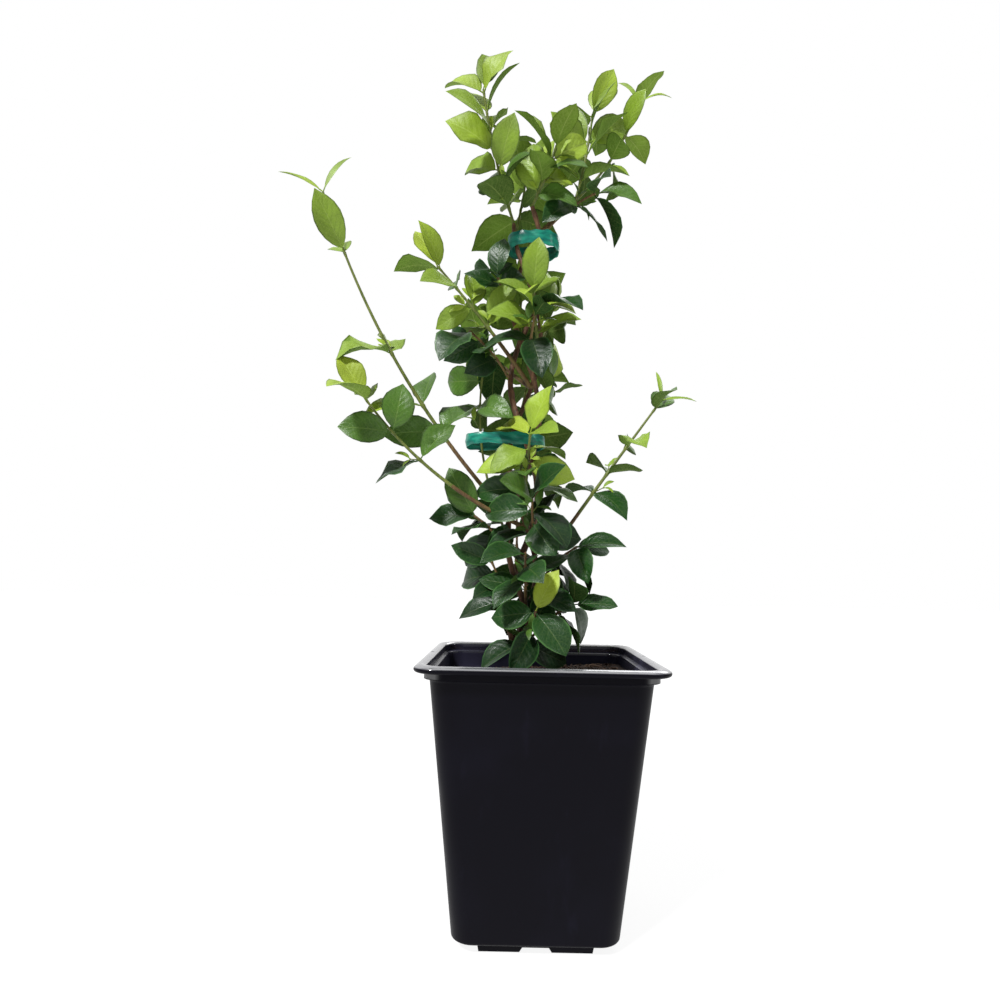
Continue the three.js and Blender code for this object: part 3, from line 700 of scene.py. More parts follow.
old_bark = bark_finish("old_bark", **OLD_BARK)
stem_rows = []
for name in STEMS:
    stem = limbs[name]
    shares = [i / STEM_STEPS for i in range(STEM_STEPS + 1)]
    points = [stem.point(share) for share in shares]
    swells = [1 + scar_swell(point[2] + stem.lead / SCAR_STAGGER) for point in points]
    stem_rows.append((points, [stem.radius(share) * swell for share, swell in zip(shares, swells)]))
stems = grown_piece(
    limb_curve("stems", stem_rows), limb_tree, "twining_stems",
    Sides=STEM_SIDES, Relief=0.7 * MM, Grain=420.0, Material=old_bark.material,
)
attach(stems, "root")
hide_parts(*STEMS)

# Ties
# Two bands of soft teal film, stretched round the stems by hand and pulled tight enough to crease.
# Each is one closed strip whose edges curl a little and whose height gives where the film is gathered.

TIE_STEPS = 150
TIE_ROWS = 8
TIE_FILM = 0.45 * MM
TIE_INSET = 0.5 * MM
TIE_CREASE = 0.55 * MM
TIE_WRINKLE = 0.6
TIE_CURL = 0.8
TIE_GATHER = 0.14
TIE_PUCKER = 0.06
TIE_SWAY = 0.035
FILM_DEEP = (14, 98, 88)
FILM_PALE = (38, 152, 126)

film = Finish("tie_film", Roughness=0.3, **{"Specular IOR Level": 0.5})
film_streaks = film.noise(260, detail=3, stretch=(0.3, 0.3, 1)).rise(0.35, 0.7)
film.link("Base Color", film_streaks.tint(linear(*FILM_DEEP), linear(*FILM_PALE)))
film.bump(film_streaks, strength=0.3, distance=0.3 * MM)


def oval_place(travel, left, right, half):
    """Centre and angle at a way along an oval's edge, which is two straight sides joined by half circles."""
    straight = right - left
    bend = math.pi * half
    if travel < straight:
        return left + travel, -math.pi / 2
    if travel < straight + bend:
        return right, (travel - straight) / half - math.pi / 2
    if travel < 2 * straight + bend:
        return right - (travel - straight - bend), math.pi / 2
    return left, (travel - 2 * straight - bend) / half + math.pi / 2


def band_faces():
    """The faces of a closed band, TIE_STEPS round and TIE_ROWS high."""
    wide = TIE_ROWS + 1
    faces = []
    for step in range(TIE_STEPS):
        after = (step + 1) % TIE_STEPS
        for row in range(TIE_ROWS):
            here = step * wide + row
            there = after * wide + row
            faces.append((here, there, there + 1, here + 1))
    return faces


for tie in ("tie_lower", "tie_upper"):
    low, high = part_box(tie)
    half = high.y - TIE_INSET
    left = low.x + TIE_INSET + half
    right = high.x - TIE_INSET - half
    height = high.z - low.z
    around = 2 * (right - left + math.pi * half)
    verts = []
    for step in range(TIE_STEPS):
        centre, angle = oval_place(around * step / TIE_STEPS, left, right, half)
        turn = 2 * math.pi * step / TIE_STEPS
        gather = 1 - TIE_GATHER * (0.5 + 0.5 * math.sin(3 * turn + 1.1)) - TIE_PUCKER * math.sin(11 * turn)
        sway = TIE_SWAY * height * math.sin(2 * turn + 0.4)
        for row in range(TIE_ROWS + 1):
            off = row / TIE_ROWS - 0.5
            crease = math.sin(9 * turn + 7 * off) * math.cos(4 * turn - 3 * off)
            radius = half + TIE_CREASE * (TIE_WRINKLE * crease - 4 * off * off * TIE_CURL)
            z = (low.z + high.z) / 2 + sway + off * height * gather
            verts.append((centre + radius * math.cos(angle), radius * math.sin(angle), z))
    band = new_piece(tie + "_band", verts, band_faces())
    thicken = band.modifiers.new("film", "SOLIDIFY")
    thicken.thickness = TIE_FILM
    thicken.offset = 0.0
    band = evaluated_piece(band, tie + "_film")
    shade_smooth(band, sharp_degrees=50)
    band.data.materials.append(film.material)
    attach(band, "root")
    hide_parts(tie)

# Shoots
# Leafy shoots spring from the stems all the way up: a few long runners on bare woody boughs, and short ones
# close to the column. They bow out, thin towards the tip and swell slightly at each pair of leaves.

SHOOT = dict(
    arch=0.1, bare=0.0, pairs=4, first=0.35, last=0.97, stretch=1.0, leaf=36.0, turn=0.0, spiral=75.0,
    spread=1.0, face=0.0, sag=0.25, bud=False, shade="mid", flush=None,
)
SHOOTS = (
    dict(name="left_long", limb="stem_second", at=298, tip=(-167, -4, 534), arch=-0.115, bare=0.25,
         first=0.28, last=0.83, stretch=1.8, leaf=43, turn=30, spiral=20, sag=0, bud=True, shade="light",
         seed=55),
    dict(name="left_low", limb="stem_third", at=290, tip=(-128, -30, 376), arch=-0.15, bare=0.4, pairs=3,
         first=0.6, leaf=38, spiral=40, sag=0, flush="lime", seed=2),
    dict(name="left_high", limb="stem_second", at=392, tip=(-80, -14, 476), arch=0.02, bare=0.42,
         first=0.48, leaf=36, turn=-30, spiral=50, sag=0.05, shade="light", seed=44),
    dict(name="right_long", limb="stem_third", at=258, tip=(87, -6, 384), arch=0, bare=0.33, first=0.45,
         last=0.94, stretch=1.4, leaf=34, turn=-45, spiral=-20, sag=0, bud=True, seed=10),
    dict(name="top_right", limb="stem_second", at=503, tip=(20, -4, 533), arch=0.05, bare=1, seed=15),
    dict(name="top_near", limb="bough_top_right", at=533, tip=(33, 6, 603), arch=-0.05, pairs=6, first=0.2,
         leaf=40, spiral=60, spread=0.85, sag=0, shade="light", seed=59),
    dict(name="top_far", limb="bough_top_right", at=527, tip=(68, 6, 612), arch=-0.14, pairs=3, first=0.5,
         leaf=36, turn=45, spiral=30, spread=0.9, sag=0, bud=True, shade="light", seed=8),
    dict(name="top_side", limb="bough_top_right", at=517, tip=(34, -14, 531), pairs=2, first=0.6, leaf=36,
         turn=30, spiral=60, sag=0.8, shade="dark", seed=30),
    dict(name="top_left", limb="stem_third", at=515, tip=(-49, -14, 605), arch=-0.06, pairs=7, first=0.12,
         leaf=37, turn=60, spiral=45, spread=0.9, sag=0, shade="light", seed=25),
    dict(name="top_middle", limb="stem_main", at=522, tip=(4, -26, 556), arch=-0.05, pairs=5, first=0.2,
         leaf=37, spiral=65, spread=0.75, sag=0, shade="light", seed=24),
    dict(name="front_high", limb="stem_third", at=420, tip=(-10, -28, 452), arch=-0.1, turn=-5, sag=0.1,
         shade="light", seed=19),
    dict(name="front_middle", limb="stem_second", at=412, tip=(-8, -30, 444), arch=-0.1, turn=120,
         shade="dark", seed=52),
    dict(name="front_tie", limb="stem_third", at=296, tip=(-10, -33, 352), pairs=5, first=0.3, sag=0.6,
         shade="light", seed=38),
    dict(name="front_low", limb="stem_third", at=272, tip=(-8, -35, 306), arch=-0.1, turn=180,
         shade="dark", seed=49),
    dict(name="front_waist", limb="stem_second", at=230, tip=(-12, -38, 268), arch=-0.1, turn=140,
         shade="dark", seed=19),
    dict(name="front_foot", limb="stem_main", at=198, tip=(-4, -38, 228), arch=-0.3, pairs=3, turn=180,
         sag=0.5, shade="dark", flush="lime", seed=82),
    dict(name="left_middle", limb="stem_main", at=400, tip=(-56, -12, 430), turn=60, spiral=60, face=-20,
         sag=0.35, shade="dark", seed=16),
    dict(name="left_tie", limb="stem_second", at=286, tip=(-46, -2, 400), arch=-0.15, pairs=3, first=0.66,
         turn=-135, spiral=60, face=-30, sag=0.4, seed=56),
    dict(name="left_waist", limb="stem_second", at=272, tip=(-50, -4, 296), turn=-10, spiral=60, face=-30,
         sag=0.35, shade="dark", seed=23),
    dict(name="left_foot", limb="stem_main", at=216, tip=(-36, -14, 262), spiral=60, face=-40, sag=0.6,
         shade="dark", seed=37),
    dict(name="right_foot", limb="stem_third", at=246, tip=(26, -14, 274), turn=80, spiral=60, face=30,
         sag=0.5, shade="dark", seed=56),
    dict(name="right_base", limb="stem_second", at=208, tip=(24, -20, 232), pairs=3, turn=-80, spiral=60,
         face=30, sag=0.5, shade="dark", seed=10),
    dict(name="right_waist", limb="stem_second", at=368, tip=(6, 8, 402), arch=-0.1, pairs=3, leaf=32,
         turn=110, face=60, sag=0.1, seed=32),
    dict(name="right_high", limb="stem_third", at=428, tip=(4, 8, 452), arch=-0.1, pairs=3, leaf=32,
         turn=135, face=70, sag=0.1, seed=32),
    dict(name="left_neck", limb="stem_second", at=452, tip=(-36, -8, 472), arch=-0.1, pairs=3, leaf=32,
         turn=90, face=-30, sag=0.1, shade="dark", seed=40),
    dict(name="top_back", limb="stem_third", at=508, tip=(-16, 42, 574), arch=-0.05, pairs=5, first=0.3,
         leaf=37, spread=0.85, turn=20, face=180, sag=0, shade="light", seed=52),
    dict(name="back_high", limb="stem_main", at=430, tip=(-18, 30, 482), arch=-0.1, turn=20, face=180,
         shade="light", seed=34),
    dict(name="back_middle", limb="stem_third", at=378, tip=(-10, 36, 424), arch=-0.1, turn=40, face=180,
         seed=35),
    dict(name="back_tie", limb="stem_second", at=320, tip=(-8, 40, 372), turn=10, face=180, seed=36),
    dict(name="back_low", limb="stem_main", at=262, tip=(-18, 38, 304), arch=-0.1, turn=60, face=180,
         sag=0.35, shade="dark", seed=37),
    dict(name="back_foot", limb="stem_third", at=206, tip=(-8, 36, 246), turn=30, face=180, sag=0.45,
         shade="dark", seed=38),
    dict(name="back_left", limb="stem_third", at=396, tip=(-60, 88, 466), arch=-0.05, bare=0.4, first=0.46,
         turn=20, spiral=45, face=220, sag=0.1, shade="light", seed=39),
    dict(name="back_right", limb="stem_main", at=300, tip=(0, 94, 378), arch=-0.05, bare=0.4, first=0.46,
         stretch=1.2, turn=30, spiral=45, face=140, sag=0.1, seed=40),
)
TWIG_FOOT_RADIUS = 1.05
BOUGH_FOOT_RADIUS = 1.7
TWIG_TIP_RADIUS = 0.75
FORK_TAPER = 0.3
NODE_SWELL = 0.35
NODE_LENGTH = 1.8
SHOOT_STEP = 1.5
FEWEST_STEPS = 4
LIMB_END = 0.999
BOUGH_SIDES = 12
TWIG_SIDES = 8
YOUNG_BARK = dict(ground=(88, 62, 40), streak=(128, 108, 62), speck=(168, 148, 110), rough=0.5)
GREEN_BARK = dict(ground=(84, 98, 40), streak=(122, 132, 60), speck=(150, 140, 84), rough=0.42)


class Bow(Line):
    """A shoot's line: it starts just clear of its limb and runs to its tip with an even bow."""

    def __init__(self, shoot, limb, foot_radius):
        self.tip = np.array(shoot["tip"], float)
        share = limb.share_at(shoot["at"])
        seat = limb.point(share)
        limb_way = limb.way(share)
        at_tip = share > LIMB_END
        chord = self.tip - seat
        bow = unit(UP - chord * (UP @ chord) / (chord @ chord))
        self.bend = (seat + self.tip) / 2 + bow * shoot["arch"] * np.linalg.norm(chord)
        way = unit(self.bend - seat)
        out = limb.cap_way if at_tip else unit(way - limb_way * (way @ limb_way))
        tilt = math.sqrt(max(0.0, 1 - (way @ out) ** 2))
        self.foot = seat + out * ((0 if at_tip else limb.radius(share)) + GAP + foot_radius * tilt)
        self.sunk = seat
        self.foot_radius = foot_radius

    def point(self, share):
        back = 1 - share
        return back * back * self.foot + 2 * back * share * self.bend + share * share * self.tip

    def radius(self, share):
        return self.foot_radius + (TWIG_TIP_RADIUS - self.foot_radius) * share


class Bough(Line):
    """The bare foot of a long shoot."""

    def __init__(self, whole, bare):
        self.whole = whole
        self.bare = bare
        self.taper = FORK_TAPER if bare == 1 else bare
        self.cap_way = whole.way(bare)

    def point(self, share):
        return self.whole.point(self.bare * share)

    def way(self, share):
        return self.whole.way(self.bare * share)

    def radius(self, share):
        return self.whole.radius(self.taper * share)

    def radius_at(self, whole_share):
        """The radius at a share of the whole shoot."""
        return self.radius(whole_share / self.bare)


def pair_shares(shoot):
    """Where the leaf pairs stand along a shoot."""
    gaps = shoot["pairs"] - 1
    growth = shoot["stretch"]
    shares = []
    for pair in range(shoot["pairs"]):
        along = pair / gaps if growth == 1 else (growth ** pair - 1) / (growth ** gaps - 1)
        shares.append(shoot["first"] + (shoot["last"] - shoot["first"]) * along)
    return shares


def limb_row(bow, start, stop, radius_at, knots):
    """Points and radii of one stretch of a shoot, swollen at its knots. A foot is sunk in its limb."""
    length = np.linalg.norm(bow.tip - bow.foot)
    steps = max(FEWEST_STEPS, int(length * (stop - start) / SHOOT_STEP))
    points = []
    radii = []
    if start == 0:
        points.append(bow.sunk)
        radii.append(radius_at(0.0))
    for step in range(steps + 1):
        share = start + (stop - start) * step / steps
        swell = sum(math.exp(-((share - knot) * length / NODE_LENGTH) ** 2) for knot in knots)
        points.append(bow.point(share))
        radii.append(radius_at(share) * (1 + NODE_SWELL * min(1.0, swell)))
    return points, radii


shoots = []
bough_rows = []
twig_rows = dict(green=[], brown=[])
for row in SHOOTS:
    shoot = {**SHOOT, **row}
    foot_radius = BOUGH_FOOT_RADIUS if shoot["bare"] > 0 else TWIG_FOOT_RADIUS
    bow = Bow(shoot, limbs[shoot["limb"]], foot_radius)
    knots = pair_shares(shoot)
    if shoot["bare"] > 0:
        bough = Bough(bow, shoot["bare"])
        limbs["bough_" + shoot["name"]] = bough
        bough_rows.append(limb_row(bow, 0, shoot["bare"], bough.radius_at, knots))
    if shoot["bare"] < 1:
        kind = "brown" if shoot["shade"] == "dark" else "green"
        twig_rows[kind].append(limb_row(bow, shoot["bare"], 1, bow.radius, knots))
        shoots.append((shoot, bow))

young_bark = bark_finish("young_bark", **YOUNG_BARK)
green_bark = bark_finish("green_bark", **GREEN_BARK)
boughs = grown_piece(
    limb_curve("boughs", bough_rows), limb_tree, "bare_boughs",
    Sides=BOUGH_SIDES, Relief=0.35 * MM, Grain=600.0, Material=young_bark.material,
)
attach(boughs, "root")
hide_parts(*("bough_" + row["name"] for row in SHOOTS if row.get("bare", 0) > 0))
for kind, finish, slot in (("green", green_bark, "leaves_light"), ("brown", young_bark, "bark")):
    twigs = grown_piece(
        limb_curve(kind, twig_rows[kind]), limb_tree, kind + "_twigs",
        Sides=TWIG_SIDES, Relief=0.15 * MM, Grain=700.0, Material=finish.material,
    )
    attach(twigs, "root")

# Leaves
# Leathery oval leaves with a short stalk and a small point stand in opposite pairs, each pair turned from the
# last. Young ones are yellow-green and satin, and old ones are dark and glossy above and paler below.

LEAF_SWINGS = (0, 24, -24, 48, -48)
LEAF_WIDTH_SHARE = 0.58
LEAF_FACE_OUT = 0.75
LEAF_FACE_UP = 0.65
SEEN_END_ON = 0.9
LENGTH_RANGE = (0.86, 1.14)
WIDTH_RANGE = (0.85, 1.2)
CURL_RANGE = (0.25, 0.75)
SAG_RANGE = (-0.24, 2.16)
FOOT_TILT = 72
END_TILT = 46
TILT_SPREAD = 36
TURN_SPREAD = 30
ROLL_SPREAD = 100
TIP_LENGTH_RANGE = (0.9, 1.1)
TIP_TILT_SPREAD = 10
TIP_TURN_SPREAD = 40
TIP_CURL = 0.4
TIP_LEAF = dict(length=0.95, width=LEAF_WIDTH_SHARE, tilt=8)
BUD_LEAF = dict(length=0.82, width=0.15, tilt=34)
FOUND_WITHIN = 0.05
RANDOM_SEED_STEP = 7919
RANDOM_FACTOR = 48271
RANDOM_RANGE = 2 ** 31 - 1


def between(span, share):
    """A value between a range's two ends."""
    return span[0] + (span[1] - span[0]) * share


class Draws:
    """The seeded random numbers that place a shoot's leaves."""

    def __init__(self, seed):
        self.state = seed * RANDOM_SEED_STEP

    def take(self, count):
        drawn = []
        for turn in range(count):
            self.state = self.state * RANDOM_FACTOR % RANDOM_RANGE
            drawn.append(self.state / RANDOM_RANGE)
        return drawn


def leaf_at(bow, share, shoot, tilt, phase, length, width, sag, roll, curl):
    """One leaf's root, direction, upper side and sizes."""
    along = bow.way(share)
    facing = math.radians(shoot["face"])
    face = LEAF_FACE_OUT * np.array((math.sin(facing), -math.cos(facing), 0)) + LEAF_FACE_UP * UP
    front = UP if abs(along[1]) > SEEN_END_ON else np.array((0.0, -1.0, 0.0))
    across = unit(np.cross(along, front))
    beside = np.cross(along, across)
    fan = across * math.cos(math.radians(phase)) + beside * math.sin(math.radians(phase))
    lean = math.radians(tilt)
    way = unit(along * math.cos(lean) + fan * math.sin(lean) - UP * sag)
    normal = unit(unit(face) - way * (unit(face) @ way))
    normal = normal * math.cos(roll) + np.cross(way, normal) * math.sin(roll)
    return dict(root=bow.point(share), way=way, normal=normal, length=length, width=width, curl=curl)


def leaf_places(shoot, bow):
    """Every leaf that a shoot may carry, each with the turned places that it can fall back to."""
    draws = Draws(shoot["seed"])
    shares = pair_shares(shoot)
    for pair, share in enumerate(shares):
        even = pair / (shoot["pairs"] - 1)
        for side in range(2):
            draw = draws.take(5)
            length = shoot["leaf"] * between(LENGTH_RANGE, draw[0])
            tilt = shoot["spread"] * between((FOOT_TILT, END_TILT), even) + TILT_SPREAD * (draw[1] - 0.5)
            phase = shoot["turn"] + shoot["spiral"] * pair + 180 * side + TURN_SPREAD * (draw[2] - 0.5)
            width = length * LEAF_WIDTH_SHARE * between(WIDTH_RANGE, draw[3])
            sag = shoot["sag"] * between(SAG_RANGE, draw[3])
            roll = math.radians(ROLL_SPREAD * (draw[4] - 0.5))
            curl = between(CURL_RANGE, draw[1])
            yield [
                leaf_at(bow, share, shoot, tilt, phase + swing, length, width, sag, roll, curl)
                for swing in LEAF_SWINGS
            ]
    kind = BUD_LEAF if shoot["bud"] else TIP_LEAF
    for phase in (180, 0) if shoot["bud"] else (0,):
        draw = draws.take(3)
        length = shoot["leaf"] * kind["length"] * between(TIP_LENGTH_RANGE, draw[0])
        tilt = kind["tilt"] + TIP_TILT_SPREAD * draw[1]
        turn = phase + TIP_TURN_SPREAD * (draw[2] - 0.5)
        width = length * kind["width"]
        yield [
            leaf_at(bow, 1, shoot, tilt + abs(swing) / 2, turn + swing, length, width, 0, 0, TIP_CURL)
            for swing in LEAF_SWINGS
        ]


def middle_line(leaf, share):
    """A point of a leaf's middle line, from its root to its tip, as its solid bends."""
    reach = leaf["length"] / leaf["curl"]
    bend = leaf["curl"] * share
    return leaf["root"] + reach * (leaf["way"] * math.sin(bend) + leaf["normal"] * (math.cos(bend) - 1))


def kept_leaf(choices, corners):
    """The place whose tip is a corner of the solid, or nothing where the leaf was skipped."""
    for leaf in choices:
        if np.min(np.linalg.norm(corners - middle_line(leaf, 1), axis=1)) < FOUND_WITHIN:
            return leaf
    return None


PALE_VEIN = (186, 198, 120)
# The edge colour of the deep and dark tones is paler than the blade, a painted highlight along the margin. On
# the lighter tones it is the leaf's own darker margin.
TONES = dict(
    lime=dict(upper=(164, 186, 52), under=(136, 162, 60), edge=(98, 116, 26), rough=0.46, vein=0.3),
    light=dict(upper=(152, 180, 50), under=(124, 154, 58), edge=(80, 100, 22), rough=0.44, vein=0.28),
    fresh=dict(upper=(130, 160, 46), under=(110, 142, 54), edge=(62, 84, 20), rough=0.42, vein=0.22),
    mid=dict(upper=(74, 112, 37), under=(82, 110, 46), edge=(40, 62, 20), rough=0.34, vein=0.14),
    deep=dict(upper=(25, 66, 21), under=(48, 80, 34), edge=(70, 112, 54), rough=0.33, vein=0.1),
    dark=dict(upper=(14, 49, 17), under=(40, 72, 31), edge=(58, 100, 50), rough=0.35, vein=0.08),
)
SHADES = dict(
    light=(("lime", 0.1), ("light", 0.34), ("fresh", 0.28), ("mid", 0.2), ("deep", 0.08)),
    mid=(("light", 0.14), ("fresh", 0.28), ("mid", 0.36), ("deep", 0.22)),
    dark=(("fresh", 0.04), ("mid", 0.14), ("deep", 0.4), ("dark", 0.42)),
)
YOUNG_TONES = dict(light="light", mid="fresh", dark="mid")
AGE_WEIGHT = 0.5


def dealt_tone(shade, age, draw):
    """The tone that a shoot's shade deals to one leaf, darker where the leaf is older."""
    left = AGE_WEIGHT * age + (1 - AGE_WEIGHT) * draw
    for tone, share in SHADES[shade]:
        left -= share
        if left <= 0:
            break
    return tone


LEAF_WAVE = 0.32
FULLNESS_RANGE = (0.52, 0.8)
FOLD_RANGE = (math.radians(5), math.radians(27))
TWIST = 0.8
DROOP = 0.2
DROOP_LATE = 3
LEAF_SEED = 124
leaf_rng = np.random.default_rng(LEAF_SEED)
leaves = {tone: [] for tone in TONES}


def lay_leaf(leaf, tone):
    """Gives a leaf its own bend and outline, and puts it with the others of its tone."""
    wave, phase, fold, twist, droop, fullness = leaf_rng.random(6)
    leaf["wave"] = LEAF_WAVE * wave * wave
    leaf["phase"] = 2 * math.pi * phase
    leaf["fold"] = between(FOLD_RANGE, fold)
    leaf["twist"] = TWIST * (twist - 0.5)
    leaf["droop"] = DROOP * droop * droop
    leaf["fullness"] = between(FULLNESS_RANGE, fullness)
    leaves[tone].append(leaf)


for shoot, bow in shoots:
    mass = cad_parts["foliage_" + shoot["name"]]
    corners = np.array([tuple(corner.co) for corner in mass.data.vertices]) / MM
    count = 2 * shoot["pairs"]
    for index, choices in enumerate(leaf_places(shoot, bow)):
        leaf = kept_leaf(choices, corners)
        tone = dealt_tone(shoot["shade"], max(0, 1 - index / count), leaf_rng.random())
        if index == count and shoot["flush"]:
            tone = shoot["flush"]
        if leaf is not None:
            lay_leaf(leaf, tone)

# In some leaf axils a young side shoot has started: a soft green thread with a pair of small leaves.
SPRIG_SHARE = 0.32
SPRIG_LENGTH_RANGE = (4.0, 9.0)
SPRIG_LEAF_RANGE = (8.0, 14.0)
SPRIG_WIDTH_SHARE = 0.42
SPRIG_TILT = 38
SPRIG_LEAF_TILT = 34
SPRIG_CURL = 0.5
SPRIG_FOOT_RADIUS = 0.5
SPRIG_TIP_RADIUS = 0.35


class Sprig(Line):
    """A young side shoot's thread, straight from its axil to its own leaves."""

    def __init__(self, root, tip):
        self.root = root
        self.tip = tip

    def point(self, share):
        return self.root + (self.tip - self.root) * share


sprig_rows = []
for shoot, bow in shoots:
    for pair, share in enumerate(pair_shares(shoot)[:-1]):
        for side in range(2):
            chance, growth, size, roll = leaf_rng.random(4)
            if chance > SPRIG_SHARE:
                continue
            phase = shoot["turn"] + shoot["spiral"] * pair + 180 * side
            start = leaf_at(bow, share, shoot, SPRIG_TILT, phase, 1, 1, 0, 0, SPRIG_CURL)
            thread = start["way"] * between(SPRIG_LENGTH_RANGE, growth)
            sprig = Sprig(start["root"], start["root"] + thread)
            sprig_rows.append(([sprig.root, sprig.tip], [SPRIG_FOOT_RADIUS, SPRIG_TIP_RADIUS]))
            length = between(SPRIG_LEAF_RANGE, size)
            for turn in (0, 180):
                leaf = leaf_at(
                    sprig, 1, shoot, SPRIG_LEAF_TILT, phase + turn, length, length * SPRIG_WIDTH_SHARE, 0,
                    roll - 0.5, SPRIG_CURL,
                )
                lay_leaf(leaf, YOUNG_TONES[shoot["shade"]])
sprigs = grown_piece(
    limb_curve("sprigs", sprig_rows), limb_tree, "axil_sprigs",
    Sides=TWIG_SIDES, Relief=0.05 * MM, Grain=700.0, Material=green_bark.material,
)
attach(sprigs, "root")

# A leaf is a closed skin over a row of stations: some points across its upper side and one below at each.
STALK_END = 0.09
STALK_HALF = 0.55
STALK_BLEND = 3
STALK_BELOW = 0.5
BLADE_HALF = 0.2
LEAF_STATIONS = (0.0, STALK_END, 0.12, 0.19, 0.3, 0.43, 0.57, 0.71, 0.83, 0.93)
LEAF_COLUMNS = (-1.0, -0.5, 0.0, 0.5, 1.0)
LEAF_BULGE = 0.1
OUTLINE_LEAN = 0.92
POINT_DRAWN = 0.4
POINT_LATE = 4
RIPPLES = 9
RIPPLE_SLANT = 1.2


def outline(share, fullness):
    """Half the blade's width along the leaf, as a share of the widest."""
    if share <= STALK_END:
        return 0.0
    along = (share - STALK_END) / (1 - STALK_END)
    return math.sin(math.pi * along ** OUTLINE_LEAN) ** (fullness + POINT_DRAWN * along ** POINT_LATE)


def leaf_spine(leaf, share):
    """A point of the drooping leaf's middle line, and the blade's up and sideways directions there."""
    across = np.cross(leaf["way"], leaf["normal"])
    bend = leaf["curl"] * share
    straight = leaf["normal"] * math.cos(bend) + leaf["way"] * math.sin(bend)
    turn = leaf["twist"] * (share - STALK_END)
    lift = straight * math.cos(turn) + across * math.sin(turn)
    side = across * math.cos(turn) - straight * math.sin(turn)
    droop = leaf["length"] * leaf["droop"] * share ** DROOP_LATE
    return middle_line(leaf, share) - leaf["normal"] * droop, lift, side


def leaf_points(leaf):
    """At each station the upper points, edge to edge, and one under the midrib. The tip comes last."""
    points = []
    for share in LEAF_STATIONS:
        spine, lift, side = leaf_spine(leaf, share)
        blade = outline(share, leaf["fullness"])
        half = max(blade * leaf["width"] / 2, STALK_HALF)
        stalk = 1 - min(1.0, STALK_BLEND * blade) if share < STALK_BELOW else 0.0
        body = BLADE_HALF + (STALK_HALF - BLADE_HALF) * stalk
        for column in LEAF_COLUMNS:
            out = abs(column)
            swing = RIPPLES * share + RIPPLE_SLANT * column + leaf["phase"]
            ripple = leaf["wave"] * out * blade * math.sin(swing)
            height = half * (math.sin(leaf["fold"]) * out + LEAF_BULGE * math.sin(math.pi * out) + ripple)
            sideways = side * column * half * math.cos(leaf["fold"])
            points.append(spine + sideways + lift * (height + body * (1 - out)))
        points.append(spine - lift * body)
    return points + [leaf_spine(leaf, 1.0)[0]]


def leaf_faces():
    """One leaf's faces, upper ones first. A corner is a point's number and its place on the blade."""
    wide = len(LEAF_COLUMNS)
    stations = len(LEAF_STATIONS)

    def above(station, column):
        place = ((LEAF_COLUMNS[column] + 1) / 2, LEAF_STATIONS[station])
        return station * (wide + 1) + column, place

    def below(station, column):
        if column in (0, wide - 1):
            return above(station, column)
        return station * (wide + 1) + wide, (0.5, LEAF_STATIONS[station])

    def strip(corner, station, left, right):
        near = [corner(station, left), corner(station, right)]
        if station + 1 < stations:
            return near + [corner(station + 1, right), corner(station + 1, left)]
        middle = (near[0][1][0] + near[1][1][0]) / 2
        return near + [(stations * (wide + 1), (middle, 1.0))]

    upper = [
        strip(above, station, column, column + 1)
        for station in range(stations) for column in range(wide - 1)
    ]
    halves = ((0, wide // 2), (wide // 2, wide - 1))
    under = [strip(below, station, *half)[::-1] for station in range(stations) for half in halves]
    stalk_end = [below(0, wide // 2)] + [above(0, column) for column in reversed(range(wide))]
    return upper + under + [stalk_end], len(upper)


leaf_corners, UPPER_COUNT = leaf_faces()
LEAF_FACES = [[number for number, place in face] for face in leaf_corners]
LEAF_PLACES = [place for face in leaf_corners for number, place in face]

MIDRIB_HALF = (0.015, 0.06)
SIDE_VEINS = 8.0
SIDE_VEIN_SLANT = 2.2
SIDE_VEIN_HALF = (0.02, 0.1)
SIDE_VEIN_END = (0.5, 0.95)
NET_SCALE = 450.0
NET_LINE = (0.02, 0.16)
EDGE_BAND = (0.84, 0.98)
FULL_BREADTH = 21.0
UPPER_SHADED = 0.45
UPPER_SHINE = 0.35
UNDER_SHADED = 0.4
UNDER_SHINE = 0.05
UNDER_ROUGH = 0.7
UNDER_VEIN = 0.15


def leaf_finish(name, colour, shaded, vein, edge, rough, shine):
    """A leaf side: a pale midrib, side veins with a fine net between them, soft patches and an edge."""
    skin = Finish(name, **{"Specular IOR Level": shine})
    blade = skin.start.node("ShaderNodeUVMap", {"uv_map": "blade"})
    parts = skin.start.node("ShaderNodeSeparateXYZ", values={0: blade})
    out = abs(parts - 0.5) * 2.0
    along = parts.out(1)
    midrib = 1.0 - out.rise(*MIDRIB_HALF)
    slant = along * SIDE_VEINS - out * SIDE_VEIN_SLANT
    ribs = abs(slant.math("FRACT", slant) - 0.5)
    fade = 1.0 - out.rise(*SIDE_VEIN_END)
    veins = (1.0 - ribs.rise(*SIDE_VEIN_HALF)) * fade
    cells = skin.start.node(
        "ShaderNodeTexVoronoi", {"feature": "DISTANCE_TO_EDGE"}, {"Vector": skin.place, "Scale": NET_SCALE},
    )
    net = 1.0 - cells.rise(*NET_LINE)
    patches = skin.noise(55, detail=3).rise(0.3, 0.7)
    ground = (0.7 * patches).tint(colour, shaded)
    # The band along the margin takes the edge colour: a painted highlight on the deep and dark tones, and a
    # darker margin on the lighter ones.
    ground = (0.8 * out.rise(*EDGE_BAND)).tint(ground, edge)
    veined = midrib.math("MAXIMUM", 0.75 * midrib, 0.25 * veins + 0.2 * net)
    skin.link("Base Color", veined.tint(ground, vein))
    skin.link("Roughness", rough + 0.12 * patches)
    breadth = skin.start.node("ShaderNodeAttribute", {"attribute_name": "breadth"}, output=2)
    relief = breadth * (ribs.rise(0.0, 0.5) * fade * 0.3 - midrib * 0.25)
    raised = relief + skin.noise(240, detail=2) * 0.4 - net * 0.12
    skin.bump(raised, strength=0.45, distance=0.8 * MM)
    return skin.material


